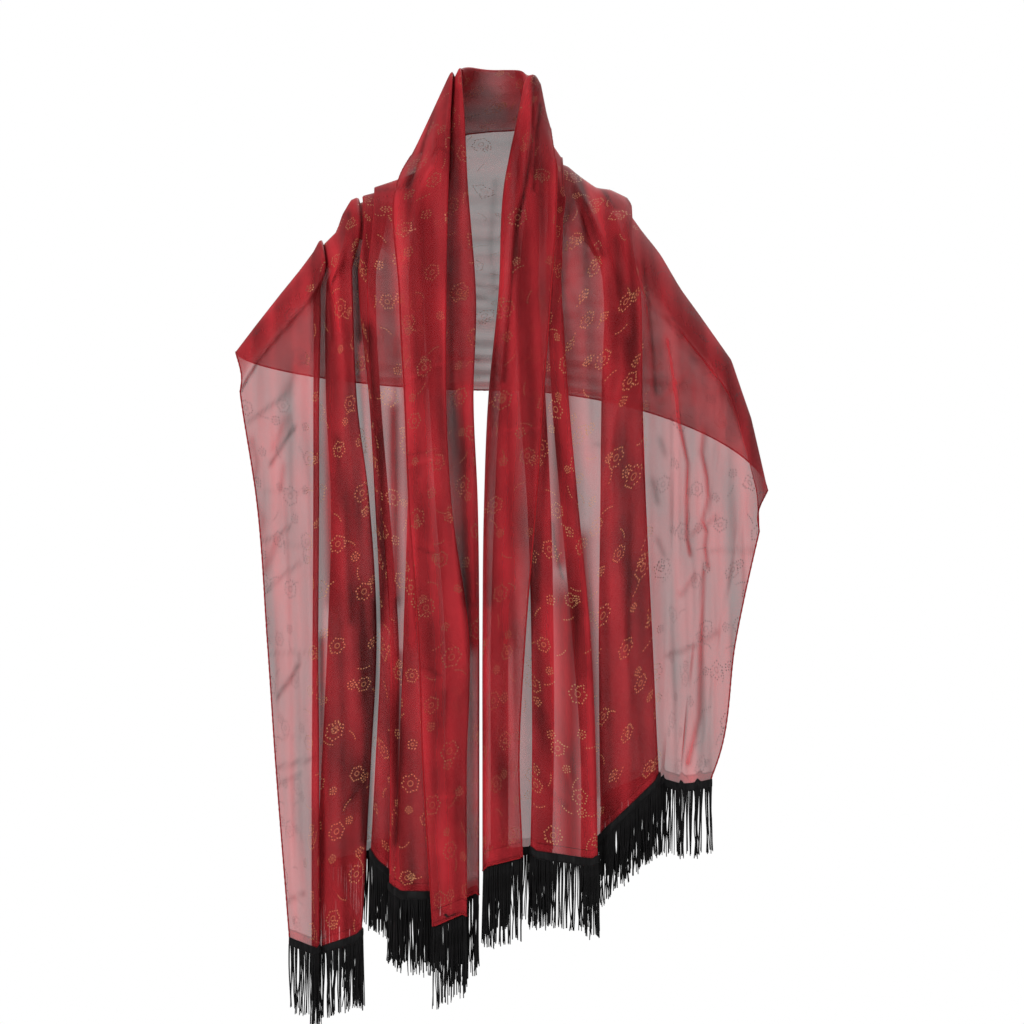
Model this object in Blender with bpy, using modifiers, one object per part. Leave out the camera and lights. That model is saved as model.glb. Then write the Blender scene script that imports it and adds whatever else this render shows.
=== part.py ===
"""A long sheer wrap with fringed ends, worn round the neck and shoulders with both ends hanging in front.

The cloth is one rectangle. Its lower edge hangs free, its neck edge is turned outwards as lapels and collar.
Metres, +Z up, the front faces -Y, the origin lies in the middle of the neck where the wearer carries the wrap.
"""
import math

import bpy
import numpy as np

# The cloth's wall, the slit above the braid, the slits that each piece leaves at the ridge and at the
# neck fold, and how close folded layers lie at the shoulder
WALL = 0.0012
SEAM_GAP = 0.0003
RIDGE_GAP = 0.0005
FOLD_GAP = 0.00045
NAPE_FOLD_GAP = 0.0008
SHOULDER_PACKING = 0.60

# Distances from the middle between which the stack on the ridge thins out to the single outer layer
STACK_INNER = 0.10
STACK_OUTER = 0.20

# Braid and fringe on the two short ends
BRAID_HEIGHT = 0.010
BRAID_WALL = 0.0024
STEEP_DROP = 0.0034
STRAND_LENGTH = 0.083
STRAND_PITCH = 0.0062
STRAND_WIDTH = 0.0042
STRAND_TIP_WIDTH = 0.0030
STRAND_WALL = 0.0016
STRAND_UNEVENNESS = 0.004

# Heights in mm of the columns of the fold tables between the ridge and the hem
LEVELS = (-24, -183, -305, -427, -598, -744)

# Folds at the photo's left, from the outer free edge to the free neck edge.
# name, x in mm on the ridge, x at each level, x at the hem, height of the hem, depth of the layer that follows
LEFT_FOLDS = (
    ("outer_edge", -323, -323, -323, -315, -296, -283, -273, -256, -958, 0),
    ("pleat_right", -220, -220, -218, -220, -220, -221, -220, -220, -972, -6),
    ("pleat_left", -228, -228, -227, -227, -227, -228, -229, -229, -974, -12),
    ("bundle_right", -181, -181, -179, -174, -159, -150, -157, -168, -952, -19),
    ("bundle_left", -206, -206, -212, -212, -206, -210, -217, -223, -870, -26),
    ("tuck_right", -156, -156, -161, -151, -139, -129, -129, -131, -845, -20),
    ("strip_left", -176, -176, -171, -159, -152, -145, -151, -157, -855, -13),
    ("strip_right", -146, -146, -151, -145, -135, -123, -123, -123, -886, -7),
    ("inset_left", -159, -159, -161, -155, -144, -133, -133, -134, -895, -1),
    ("under_right", -93, -93, -93, -90, -88, -81, -76, -73, -906, 5),
    ("under_left", -112, -112, -110, -107, -111, -117, -122, -127, -900, 11),
    ("roll", -55, -44, -29, -32, -27, -25, -25, -25, -899, 18),
    ("lapel_tuck", -85, -88, -92, -85, -78, -66, -66, -65, -919, 24),
    ("lapel_right", -60, -62, -65, -65, -59, -37, -40, -40, -924, 30),
    ("neck_edge", -109, -118, -121, -115, -110, -98, -93, -81, -942, 30),
)

# Folds at the photo's right, in the same columns
RIGHT_FOLDS = (
    ("outer_edge", 327, 327, 327, 327, 327, 287, 265, 257, -766, 0),
    ("arm_low", 307, 307, 307, 307, 299, 266, 246, 240, -770, 0),
    ("arm_mid", 267, 267, 267, 271, 259, 237, 222, 220, -772, 0),
    ("arm_high", 205, 205, 205, 210, 210, 205, 200, 198, -765, 0),
    ("bundle_left", 102, 104, 126, 123, 122, 120, 121, 122, -793, 7),
    ("bundle_right", 162, 162, 171, 173, 177, 185, 192, 193, -762, 14),
    ("inset_left", 65, 68, 59, 63, 73, 88, 98, 98, -852, 21),
    ("panel_right", 81, 82, 76, 83, 94, 110, 116, 118, -861, 28),
    ("panel_left", 56, 43, 22, 24, 33, 38, 39, 37, -849, 21),
    ("tuck_right", 62, 61, 49, 55, 61, 65, 65, 63, -844, 14),
    ("stripe_left", 50, 27, 10, 0, -6, -11, -11, -11, -849, 8),
    ("stripe_right", 55, 39, 24, 17, 13, 10, 10, 10, -849, 2),
    ("roll", 41, 9, -2, -14, -19, -21, -21, -21, -870, 36),
    ("neck_edge", 62, 67, 61, 52, 44, 30, 23, 27, -858, 36),
)

# The ridge that the cloth makes over arm, shoulder and neck, seen from the front: x and height in mm
LEFT_RIDGE = (
    (-336, -262), (-323, -246), (-299, -214), (-268, -174), (-244, -144), (-228, -122), (-222, -110),
    (-207, -95), (-200, -74), (-189, -54), (-177, -46), (-156, -35), (-134, -22), (-112, -10),
    (-100, 15), (-83, 51), (-65, 90), (-55, 110), (-24, 110),
)
RIGHT_RIDGE = (
    (342, -445), (327, -415), (316, -366), (307, -327), (295, -292), (283, -256), (267, -233),
    (244, -200), (221, -168), (198, -128), (178, -98), (162, -68), (157, -56), (139, -41), (124, -35),
    (112, -24), (99, -13), (92, -7), (78, -2), (66, 16), (57, 48), (50, 84), (41, 100), (12, 100),
)

# How the cloth lies on a general figure, by distance from the middle in mm:
# distance, y of the ridge, y of the front layer, drop in which the cloth turns down in front,
# y of the back, drop in which it turns down behind
FIGURE = (
    (0, 0, -150, 270, 100, 130),
    (55, 0, -149, 270, 102, 120),
    (100, 4, -144, 160, 105, 100),
    (160, 0, -134, 120, 92, 90),
    (220, -20, -118, 60, 66, 70),
    (330, -45, -105, 50, 4, 50),
)

# The nape: its half round in plan, and the heights between which shoulders become neck
NAPE_MIDDLE = -0.007
NAPE_HALF_WIDTH = 0.048
NAPE_DEPTH = 0.066
NAPE_LOW = -0.05
NAPE_HIGH = 0.03

# The back seen from behind, at its middle
BACK_LOW = -0.290
BACK_TOP = 0.106
COLLAR_FALL = 0.074
COLLAR_STAND = 0.008
SWAG_DEPTH = 0.011
SWAG_COUNT = 4.5

# How the cloth rounds over from the ridge: powers of the drop for its depth and for its direction, the power
# that blends the back with the nape, and the power of the nape's half round in plan
ROUND_POWER = 0.75
TURN_POWER = 1.5
BLEND_POWER = 4.0
NAPE_POWER = 0.75

# Table levels count from so far below the ridge, each front line eases onto its ridge point from this share
# of its height, and each turn in plan is at most this share of the layer's width
LEVEL_CLEARANCE = 0.02
RIDGE_EASE = 0.75
TURN_LIMIT = 0.4

# Across the back: the share from the ridge in which the folds open out, how early its lines reach the middle's
# height at the low edge and at the neck, and how the swags crowd to the low edge
OPENING_SHARE = 0.30
SAG_LOW = 0.55
SAG_RISE = 0.45
SWAG_CROWDING = 0.85

# Uneven tips of the fringe: turns in radians from strand to strand of a quick and a slow wave
TIP_WAVE = 2.4
SLOW_TIP_WAVE = 0.53
SLOW_TIP_SHARE = 0.6
TIP_WALL_SHARE = 0.8

# Mesh steps
SHARP_ANGLE = 50.0
RIDGE_SAMPLES = 60
BACK_CROWDING = 0.72
FRONT_STEPS = 12
BACK_STEPS = 14
WIDE_STEP = 0.050
FRONT_CROWDING = 1.7
TURN_SHARE = 0.35
SEAM_TURN_SHARE = 0.15
CLOSEST_SHARES = 0.009

CRIMSON = (0.30, 0.012, 0.020, 1.0)
BLACK = (0.006, 0.005, 0.006, 1.0)


def smooth_step(low, high, value):
    """0 below low, 1 above high, and an S-shaped rise between them."""
    share = np.clip((value - low) / (high - low), 0.0, 1.0)
    return share * share * (3.0 - 2.0 * share)


def smooth_curve(at, knots, values):
    """Cubic curve through the knots, with the slope at each knot taken from its neighbours."""
    slopes = np.gradient(values, knots)
    cell = np.clip(np.searchsorted(knots, at, side="right") - 1, 0, len(knots) - 2)
    width = knots[cell + 1] - knots[cell]
    s = np.clip((at - knots[cell]) / width, 0.0, 1.0)
    start = (1 + 2 * s) * (1 - s) ** 2 * values[cell] + s * (1 - s) ** 2 * width * slopes[cell]
    end = s * s * (3 - 2 * s) * values[cell + 1] + s * s * (s - 1) * width * slopes[cell + 1]
    return start + end


def figure(x, column):
    """A column of the figure's table, in metres, at a distance x from the middle."""
    table = np.array(FIGURE, dtype=float) / 1000.0
    return np.interp(np.abs(x), table[:, 0], table[:, column])


def nape_bulge(x, z):
    """How far the neck stands out behind its sides: a round bump in plan, gone below the shoulders."""
    share = np.clip(1.0 - ((x - NAPE_MIDDLE) / NAPE_HALF_WIDTH) ** 2, 0.0, 1.0)
    return NAPE_DEPTH * share ** NAPE_POWER * smooth_step(NAPE_LOW, NAPE_HIGH, z)


class Half:
    """One half of the wrap: its folds as lines of points from the ridge to the hem."""

    def __init__(self, folds, ridge):
        self.names = [row[0] for row in folds]
        self.table = np.array([row[1:9] for row in folds], dtype=float) / 1000.0
        self.hem = np.array([row[9] for row in folds], dtype=float) / 1000.0
        self.depth = np.array([row[10] for row in folds], dtype=float) / 1000.0
        self.top_depth = self.depth.max()
        points = np.array(ridge, dtype=float) / 1000.0
        self.ridge = points[np.argsort(points[:, 0])]
        slope = np.gradient(self.ridge[:, 1], self.ridge[:, 0])
        self.ridge_angle = np.convolve(np.pad(np.arctan(slope), 1, mode="edge"), [0.25, 0.5, 0.25], "valid")

    def ridge_height(self, x):
        return np.interp(x, self.ridge[:, 0], self.ridge[:, 1])

    def ridge_normal(self, x):
        """Unit vector square to the ridge in the plane of the front view."""
        angle = np.interp(x, self.ridge[:, 0], self.ridge_angle)
        return np.stack([-np.sin(angle), np.zeros_like(angle), np.cos(angle)], axis=-1)

    def ridge_cover(self, x):
        """Depth of the layer that lies uppermost on the ridge."""
        return self.top_depth * (1.0 - smooth_step(STACK_INNER, STACK_OUTER, np.abs(x)))

    def fold_x(self, row, z):
        """x of a fold at the heights z."""
        top = self.ridge_height(self.table[row, 0])
        levels = np.array(LEVELS, dtype=float) / 1000.0
        used = levels < top - LEVEL_CLEARANCE
        knots = np.concatenate([[top], levels[used], [self.hem[row]]])[::-1]
        values = np.concatenate([[self.table[row, 0]], self.table[row, 1:7][used], [self.table[row, 7]]])[::-1]
        return smooth_curve(np.clip(z, self.hem[row], top), knots, values)

    def samples(self, first, last):
        """Places across the cloth between two folds, as layer and share of that layer, turns included."""
        places = []
        for row in range(first, last):
            start = self.turn_radius(row) / self.width(row)
            end = self.turn_radius(row + 1) / self.width(row)
            places.append((row, 0.0))
            if row == first and first > 0:
                places.append((row, SEAM_TURN_SHARE * start))
            if start > 0:
                places.append((row, TURN_SHARE * start))
            count = int(self.width(row) / WIDE_STEP) + 1
            places.extend((row, step / (count + 1)) for step in range(1, count + 1))
            if end > 0:
                places.append((row, 1.0 - TURN_SHARE * end))
            if row == last - 1 and end > 0:
                places.append((row, 1.0 - SEAM_TURN_SHARE * end))
        places.append((last - 1, 1.0))
        return places

    def width(self, row):
        """The widest stretch of a layer between the folds row and row + 1."""
        return np.abs(self.table[row + 1] - self.table[row]).max()

    def turn_radius(self, row):
        """Radius of a fold in plan, 0 where the cloth goes straight on or ends."""
        if row == 0 or row == len(self.names) - 1:
            return 0.0
        gap = abs(self.depth[row] - self.depth[row - 1]) / 2
        return min(gap, TURN_LIMIT * self.width(row), TURN_LIMIT * self.width(row - 1))

    def layer_depth(self, row, share):
        """Depth in the stack: the layer's own, and halfway to the next layer where it turns."""
        own = self.depth[row]
        before = (self.depth[row - 1] + own) / 2 if row > 0 else own
        after = (own + self.depth[row + 1]) / 2 if row + 2 < len(self.names) else own
        start = self.turn_radius(row) / self.width(row)
        end = self.turn_radius(row + 1) / self.width(row)
        if start > 0 and share < start:
            return own + (before - own) * (1 - math.sqrt(1 - (1 - share / start) ** 2))
        if end > 0 and 1 - share < end:
            return own + (after - own) * (1 - math.sqrt(1 - (1 - (1 - share) / end) ** 2))
        return own

    def ridge_line(self, places):
        """x, height and depth of each place on the ridge."""
        x = np.array([self.table[row, 0] + (self.table[row + 1, 0] - self.table[row, 0]) * share
                      for row, share in places])
        depth = np.array([self.layer_depth(row, share) for row, share in places])
        return x, self.ridge_height(x), depth

    def front(self, places):
        """Points of the front fall, a row for each place and a column for each step from hem to ridge."""
        steps = 1.0 - np.linspace(1.0, 0.0, FRONT_STEPS + 1) ** FRONT_CROWDING
        grid = np.zeros((len(places), len(steps), 3))
        ridge_x, ridge_z, depth = self.ridge_line(places)
        for index, (row, share) in enumerate(places):
            hem = self.hem[row] + (self.hem[row + 1] - self.hem[row]) * share
            z = hem + (ridge_z[index] - hem) * steps
            here = self.fold_x(row, z)
            x = here + (self.fold_x(row + 1, z) - here) * share
            x = x + (ridge_x[index] - x[-1]) * smooth_step(RIDGE_EASE, 1.0, steps)
            grid[index] = self.front_points(x, z, ridge_z[index], depth[index])
        return grid

    def front_points(self, x, z, ridge_z, depth):
        """The figure's front surface, with the layer's place in the stack laid off square to it."""
        drop = np.clip((ridge_z - z) / figure(x, 3), 0.0, 1.0)
        y = figure(x, 1) + (figure(x, 2) - figure(x, 1)) * np.sin(0.5 * np.pi * drop) ** ROUND_POWER
        turn = (0.5 * np.pi * (1.0 - drop) ** TURN_POWER)[:, None]
        outward = np.cos(turn) * np.array([0.0, -1.0, 0.0]) + np.sin(turn) * self.ridge_normal(x)
        packing = 1.0 + (SHOULDER_PACKING - 1.0) * (1.0 - drop)
        cover = self.ridge_cover(x) + (self.top_depth - self.ridge_cover(x)) * drop
        inset = (depth - cover) * packing
        return np.stack([x, y, z], axis=-1) + outward * inset[:, None]

    def back_surface(self, x, z):
        """y of the figure's back, and the direction in which layers stack up on it."""
        drop = np.clip((self.ridge_height(x) - z) / figure(x, 5), 0.0, 1.0)
        slope = (figure(x, 4) - figure(x, 1)) * np.sin(0.5 * np.pi * drop) ** ROUND_POWER
        bulge = nape_bulge(x, z)
        y = figure(x, 1) + (slope ** BLEND_POWER + bulge ** BLEND_POWER) ** (1.0 / BLEND_POWER)
        turn = np.maximum(drop, bulge / NAPE_DEPTH)
        angle = (0.5 * np.pi * (1.0 - turn) ** TURN_POWER)[:, None]
        return y, np.cos(angle) * np.array([0.0, 1.0, 0.0]) + np.sin(angle) * self.ridge_normal(x)


def shares_on_ridge(half, places):
    """How far across the cloth each place lies, measured on the ridge from 0 to 1."""
    x, z, depth = half.ridge_line(places)
    steps = np.sqrt(np.diff(x) ** 2 + np.diff(z) ** 2 + np.diff(depth) ** 2)
    shares = np.concatenate([[0.0], np.cumsum(steps)])
    return shares / shares[-1]


def even_ridge(half, first, last, shares):
    """The ridge between two folds without overlaps: even steps along its line."""
    x = np.linspace(half.table[first, 0], half.table[last, 0], RIDGE_SAMPLES)
    z = half.ridge_height(x)
    run = np.concatenate([[0.0], np.cumsum(np.hypot(np.diff(x), np.diff(z)))])
    even_x = np.interp(shares, run / run[-1], x)
    return even_x, half.ridge_height(even_x)


def across_back(left, right, left_rows, right_rows, turn_shares, middle_height, middle_stand, sag):
    """Points across the back, a row for each share of the cloth and a column for each step, left to right.

    Near each ridge the folds of that half open out until the cloth lies single, and the lines sag
    from the ridges to the middle. The turn shares are rows that the collar's fold needs, and the sag
    says how early a line reaches its height in the middle.
    """
    left_places = left.samples(*left_rows)
    right_places = right.samples(*right_rows)
    left_shares = shares_on_ridge(left, left_places)
    right_shares = shares_on_ridge(right, right_places)
    kept = np.concatenate([[0.0, 1.0], turn_shares])
    folded_shares = np.unique(np.concatenate([left_shares, right_shares]))
    clear = np.abs(folded_shares[:, None] - kept[None, :]).min(axis=1) > CLOSEST_SHARES
    folded_shares = folded_shares[clear]
    folded_shares = folded_shares[np.concatenate([[True], np.diff(folded_shares) > CLOSEST_SHARES])]
    shares = np.unique(np.concatenate([kept, folded_shares]))
    steps = np.linspace(0.0, 1.0, BACK_STEPS + 1)
    steps = 0.5 - 0.5 * np.sign(0.5 - steps) * np.abs(1 - 2 * steps) ** BACK_CROWDING
    columns = []
    for step in steps:
        half, rows, places, own = (left, left_rows, left_places, left_shares)
        if step > 0.5:
            half, rows, places, own = (right, right_rows, right_places, right_shares)
        near = min(step, 1.0 - step)
        fold_x, fold_z, fold_depth = (np.interp(shares, own, line) for line in half.ridge_line(places))
        even_x, even_z = even_ridge(half, *rows, shares)
        folded = 1.0 - smooth_step(0.0, OPENING_SHARE, near)
        side_x = even_x + (fold_x - even_x) * folded
        side_z = even_z + (fold_z - even_z) * folded
        x = side_x * (1.0 - 2.0 * near)
        z = side_z + (middle_height(shares) - side_z) * np.sin(np.pi * near) ** sag(shares)
        y, outward = half.back_surface(x, z)
        inset = (fold_depth - half.ridge_cover(fold_x)) * SHOULDER_PACKING * folded
        inset = inset + middle_stand(shares) * (1.0 - folded)
        columns.append(np.stack([x, y, z], axis=-1) + outward * inset[:, None])
    return np.stack(columns, axis=1)


def fold_stand(distance):
    """How far the cloth at the nape stands off on its way into the collar's fold: a quarter circle."""
    share = np.clip(1.0 - distance / (0.5 * COLLAR_STAND), 0.0, 1.0)
    return 0.5 * COLLAR_STAND * (1.0 - np.sqrt(1.0 - share ** 2))


def back_grid(left, right):
    """The back from its free lower edge to the collar's fold, with soft swags."""
    height = BACK_TOP - BACK_LOW
    turn_shares = 1.0 - 0.5 * COLLAR_STAND / height * np.array([1.0, TURN_SHARE, SEAM_TURN_SHARE])
    return across_back(
        left, right, (0, left.names.index("roll")), (0, right.names.index("roll")), turn_shares,
        lambda share: BACK_LOW + height * share,
        lambda share: fold_stand((1.0 - share) * height)
        - SWAG_DEPTH * (1 - share) * np.sin(2 * np.pi * SWAG_COUNT * share ** SWAG_CROWDING) ** 2,
        lambda share: SAG_LOW + SAG_RISE * share)


def collar_grid(left, right):
    """The turned cloth round the nape, from the fold down to the free neck edge."""
    turn_shares = 0.5 * COLLAR_STAND / COLLAR_FALL * np.array([1.0, TURN_SHARE, SEAM_TURN_SHARE])
    return across_back(
        left, right,
        (left.names.index("roll"), len(left.names) - 1), (right.names.index("roll"), len(right.names) - 1),
        turn_shares,
        lambda share: BACK_TOP - COLLAR_FALL * share,
        lambda share: COLLAR_STAND - fold_stand(share * COLLAR_FALL),
        np.ones_like)


def trim(grid, axis, start, end):
    """Shorten a grid's first and last cells, so that neighbours stay a seam's gap apart."""
    lines = np.moveaxis(grid, axis, 0).copy()
    for cut, edge, inner in ((start, 0, 1), (end, -1, -2)):
        if cut > 0:
            cell = lines[inner] - lines[edge]
            length = np.linalg.norm(cell, axis=-1, keepdims=True)
            lines[edge] = lines[edge] + cell * np.minimum(cut / length, 0.5)
    return np.moveaxis(lines, 0, axis)


def add_material(name, colour, roughness):
    material = bpy.data.materials.new(name)
    material.use_nodes = True
    surface = material.node_tree.nodes["Principled BSDF"]
    surface.inputs["Base Color"].default_value = colour
    surface.inputs["Roughness"].default_value = roughness
    surface.inputs["Metallic"].default_value = 0.0
    material.diffuse_color = colour
    return material


def add_object(name, vertices, faces, material, collection):
    mesh = bpy.data.meshes.new(name)
    mesh.from_pydata([tuple(vertex) for vertex in vertices], [], [tuple(face) for face in faces])
    mesh.validate()
    mesh.shade_smooth()
    mesh.set_sharp_from_angle(angle=math.radians(SHARP_ANGLE))
    obj = bpy.data.objects.new(name, mesh)
    obj.data.materials.append(material)
    collection.objects.link(obj)
    return obj


def add_wall(name, grid, outward_flip, material, collection):
    """A cloth wall: the grid's surface with half the wall on each side."""
    rows, columns = grid.shape[:2]
    index = np.arange(rows * columns).reshape(rows, columns)
    quads = np.stack([index[:-1, :-1], index[1:, :-1], index[1:, 1:], index[:-1, 1:]], axis=-1)
    faces = quads.reshape(-1, 4)
    if outward_flip:
        faces = faces[:, ::-1]
    obj = add_object(name, grid.reshape(-1, 3), faces.tolist(), material, collection)
    solidify = obj.modifiers.new("Cloth wall", "SOLIDIFY")
    solidify.thickness = WALL
    solidify.offset = 0.0
    solidify.use_rim = True
    return obj


def plan_run(line):
    """Distance along a line of points, measured in plan."""
    return np.concatenate([[0.0], np.cumsum(np.linalg.norm(np.diff(line[:, :2], axis=0), axis=1))])


def points_at(line, run, at):
    return np.stack([np.interp(at, run, line[:, axis]) for axis in range(3)], axis=-1)


def trim_line(line, start, end):
    """The line without a stretch at its start and its end."""
    run = plan_run(line)
    inner = run[(run > start) & (run < run[-1] - end)]
    return points_at(line, run, np.concatenate([[start], inner, [run[-1] - end]]))


def add_fringe(name, hem, phase, material, collection):
    """Braid below the cloth's end, with a comb of locks drawn out of its lower side.

    The braid's two sides follow the hem line, half its wall to each side. Between two top corners a
    lock's root spans the middle of each pitch, and the lock tapers to a blunt tip.
    """
    run = plan_run(hem)
    length = run[-1]
    count = max(2, int(round(length / STRAND_PITCH)))
    pitch = length / count
    width = STRAND_WIDTH * pitch / STRAND_PITCH
    middles = (np.arange(count) + 0.5) * pitch
    marks = {
        "top": np.arange(count + 1) * pitch,
        "low_a": middles - width / 2,
        "low_b": middles + width / 2,
    }
    vertices = []
    corner = {}

    def side_points(at, drop, wall, name_key):
        """Pairs of points on the two sides of the line, dropped below the hem."""
        centre = points_at(hem, run, at)
        ahead = points_at(hem, run, np.minimum(at + BRAID_WALL / 4, length))
        behind = points_at(hem, run, np.maximum(at - BRAID_WALL / 4, 0.0))
        along = (ahead - behind)[:, :2]
        along = along / np.linalg.norm(along, axis=1, keepdims=True)
        across = np.stack([along[:, 1], -along[:, 0], np.zeros(len(at))], axis=-1)
        centre = centre - np.array([0.0, 0.0, 1.0]) * np.asarray(drop).reshape(-1, 1)
        for side, sign in (("front", 1.0), ("rear", -1.0)):
            start = len(vertices)
            vertices.extend((centre + sign * 0.5 * wall * across).tolist())
            corner[name_key, side] = list(range(start, start + len(at)))

    def braid_drop(at):
        """Drop of the braid's top below the cloth's end: the seam's gap, and more where the hem is steep."""
        reach = 2 * BRAID_WALL
        ahead = points_at(hem, run, np.minimum(at + reach, length))
        behind = points_at(hem, run, np.maximum(at - reach, 0.0))
        rise = np.abs(ahead - behind)
        steepness = rise[:, 2] / (rise[:, 2] + np.hypot(rise[:, 0], rise[:, 1]))
        return SEAM_GAP + STEEP_DROP * steepness

    ends = np.array([0.0, length])
    side_points(marks["top"], braid_drop(marks["top"]), BRAID_WALL, "top")
    side_points(ends, braid_drop(ends) + BRAID_HEIGHT, BRAID_WALL, "end")
    for key in ("low_a", "low_b"):
        side_points(marks[key], braid_drop(marks[key]) + BRAID_HEIGHT, STRAND_WALL, key)
    strand = np.arange(count)
    wave = np.sin(TIP_WAVE * strand + phase) + SLOW_TIP_SHARE * np.sin(SLOW_TIP_WAVE * strand + 2 * phase)
    tip_drop = braid_drop(middles) + BRAID_HEIGHT + STRAND_LENGTH + STRAND_UNEVENNESS * wave
    tip_width = STRAND_TIP_WIDTH * pitch / STRAND_PITCH
    side_points(middles - tip_width / 2, tip_drop, TIP_WALL_SHARE * STRAND_WALL, "tip_a")
    side_points(middles + tip_width / 2, tip_drop, TIP_WALL_SHARE * STRAND_WALL, "tip_b")

    faces = []

    def quad(a, b, c, d):
        faces.append((a, b, c, d))

    for i in range(count):
        for side, turned in (("front", False), ("rear", True)):
            top = corner["top", side]
            low_a = corner["low_a", side]
            low_b = corner["low_b", side]
            previous = corner["end", side][0] if i == 0 else corner["low_b", side][i - 1]
            sides = [(top[i], previous, low_a[i]), (top[i], low_a[i], low_b[i], top[i + 1])]
            sides.append((low_a[i], corner["tip_a", side][i], corner["tip_b", side][i], low_b[i]))
            if i == count - 1:
                sides.append((top[i + 1], low_b[i], corner["end", side][1]))
            faces.extend(face[::-1] if turned else face for face in sides)
        front = {key: corner[key, "front"][i] for key in ("top", "low_a", "low_b", "tip_a", "tip_b")}
        rear = {key: corner[key, "rear"][i] for key in ("top", "low_a", "low_b", "tip_a", "tip_b")}
        quad(corner["top", "front"][i], corner["top", "front"][i + 1],
             corner["top", "rear"][i + 1], corner["top", "rear"][i])
        before = (corner["end", "front"][0], corner["end", "rear"][0])
        if i > 0:
            before = (corner["low_b", "front"][i - 1], corner["low_b", "rear"][i - 1])
        quad(before[0], before[1], rear["low_a"], front["low_a"])
        quad(front["low_a"], rear["low_a"], rear["tip_a"], front["tip_a"])
        quad(rear["low_b"], front["low_b"], front["tip_b"], rear["tip_b"])
        quad(front["tip_a"], rear["tip_a"], rear["tip_b"], front["tip_b"])
    quad(corner["low_b", "front"][-1], corner["low_b", "rear"][-1],
         corner["end", "rear"][1], corner["end", "front"][1])
    quad(corner["top", "front"][0], corner["top", "rear"][0],
         corner["end", "rear"][0], corner["end", "front"][0])
    quad(corner["top", "rear"][-1], corner["top", "front"][-1],
         corner["end", "front"][1], corner["end", "rear"][1])
    return add_object(name, np.array(vertices), faces, material, collection)


def build():
    for obj in list(bpy.data.objects):
        bpy.data.objects.remove(obj, do_unlink=True)
    collection = bpy.data.collections.new("fringed_evening_wrap")
    bpy.context.scene.collection.children.link(collection)
    cloth = add_material("crimson_chiffon", CRIMSON, 0.6)
    braid = add_material("black_braid", BLACK, 0.7)
    halves = {"left": Half(LEFT_FOLDS, LEFT_RIDGE), "right": Half(RIGHT_FOLDS, RIGHT_RIDGE)}
    for side, half in halves.items():
        roll = half.names.index("roll")
        neck = len(half.names) - 1
        mirrored = side == "right"
        for piece, first, last in (("front", 0, roll), ("lapel", roll, neck)):
            grid = half.front(half.samples(first, last))
            at_roll = (0, FOLD_GAP) if piece == "front" else (FOLD_GAP, 0)
            grid = trim(trim(grid, 1, 0, RIDGE_GAP), 0, *at_roll)
            add_wall(f"{side}_{piece}", grid, mirrored, cloth, collection)
            at_roll = (0, BRAID_WALL / 2) if piece == "front" else (BRAID_WALL / 2, 0)
            hem = trim_line(grid[:, 0], *at_roll)
            add_fringe(f"{side}_{piece}_fringe", hem, 1.0 + last, braid, collection)
    back = trim(back_grid(halves["left"], halves["right"]), 1, RIDGE_GAP, RIDGE_GAP)
    add_wall("back", trim(back, 0, 0, NAPE_FOLD_GAP), False, cloth, collection)
    collar = trim(collar_grid(halves["left"], halves["right"]), 1, RIDGE_GAP, RIDGE_GAP)
    add_wall("collar", trim(collar, 0, NAPE_FOLD_GAP, 0), False, cloth, collection)


build()
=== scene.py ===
"""Finish of a fringed evening wrap: six stretches of sheer cloth, their hems, the braid and the fringe.

Each stretch follows the fold tables of its solid at a fine step, with the listed creases laid into it.
Metres, +Z up, the front faces -Y, the origin lies in the middle of the neck.
"""

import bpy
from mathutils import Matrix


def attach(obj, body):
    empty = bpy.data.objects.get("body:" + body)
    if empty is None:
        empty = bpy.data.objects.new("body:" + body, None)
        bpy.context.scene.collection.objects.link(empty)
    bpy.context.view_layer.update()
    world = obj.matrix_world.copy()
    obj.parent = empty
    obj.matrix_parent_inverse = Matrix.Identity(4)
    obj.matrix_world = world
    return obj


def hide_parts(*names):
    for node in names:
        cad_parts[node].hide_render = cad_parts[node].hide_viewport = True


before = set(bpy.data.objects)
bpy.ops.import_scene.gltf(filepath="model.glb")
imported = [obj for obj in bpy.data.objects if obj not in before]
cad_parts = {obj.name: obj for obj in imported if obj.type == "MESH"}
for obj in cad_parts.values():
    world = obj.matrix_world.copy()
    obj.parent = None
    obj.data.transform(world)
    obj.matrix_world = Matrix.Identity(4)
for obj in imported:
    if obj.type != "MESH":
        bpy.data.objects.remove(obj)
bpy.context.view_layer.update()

import math

import bpy
import numpy as np
from bpy.props import FloatProperty, FloatVectorProperty, IntProperty, PointerProperty
from bpy.types import Operator, Panel, PropertyGroup
from mathutils import Vector

bl_info = {
    "name": "Fringed evening wrap",
    "version": (1, 0, 0),
    "blender": (4, 5, 0),
    "location": "View3D > Sidebar > Wrap",
    "description": "Drapes a sheer fringed wrap with hems, braid and fringe",
    "category": "Add Mesh",
}

# How close folded layers lie at the shoulder, and where the stack on the ridge thins out to one layer
SHOULDER_PACKING = 0.60
STACK_INNER = 0.10
STACK_OUTER = 0.20
BRAID_HEIGHT = 0.010

# Heights in mm of the columns of the fold tables between the ridge and the hem
LEVELS = (-24, -183, -305, -427, -598, -744)

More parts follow.
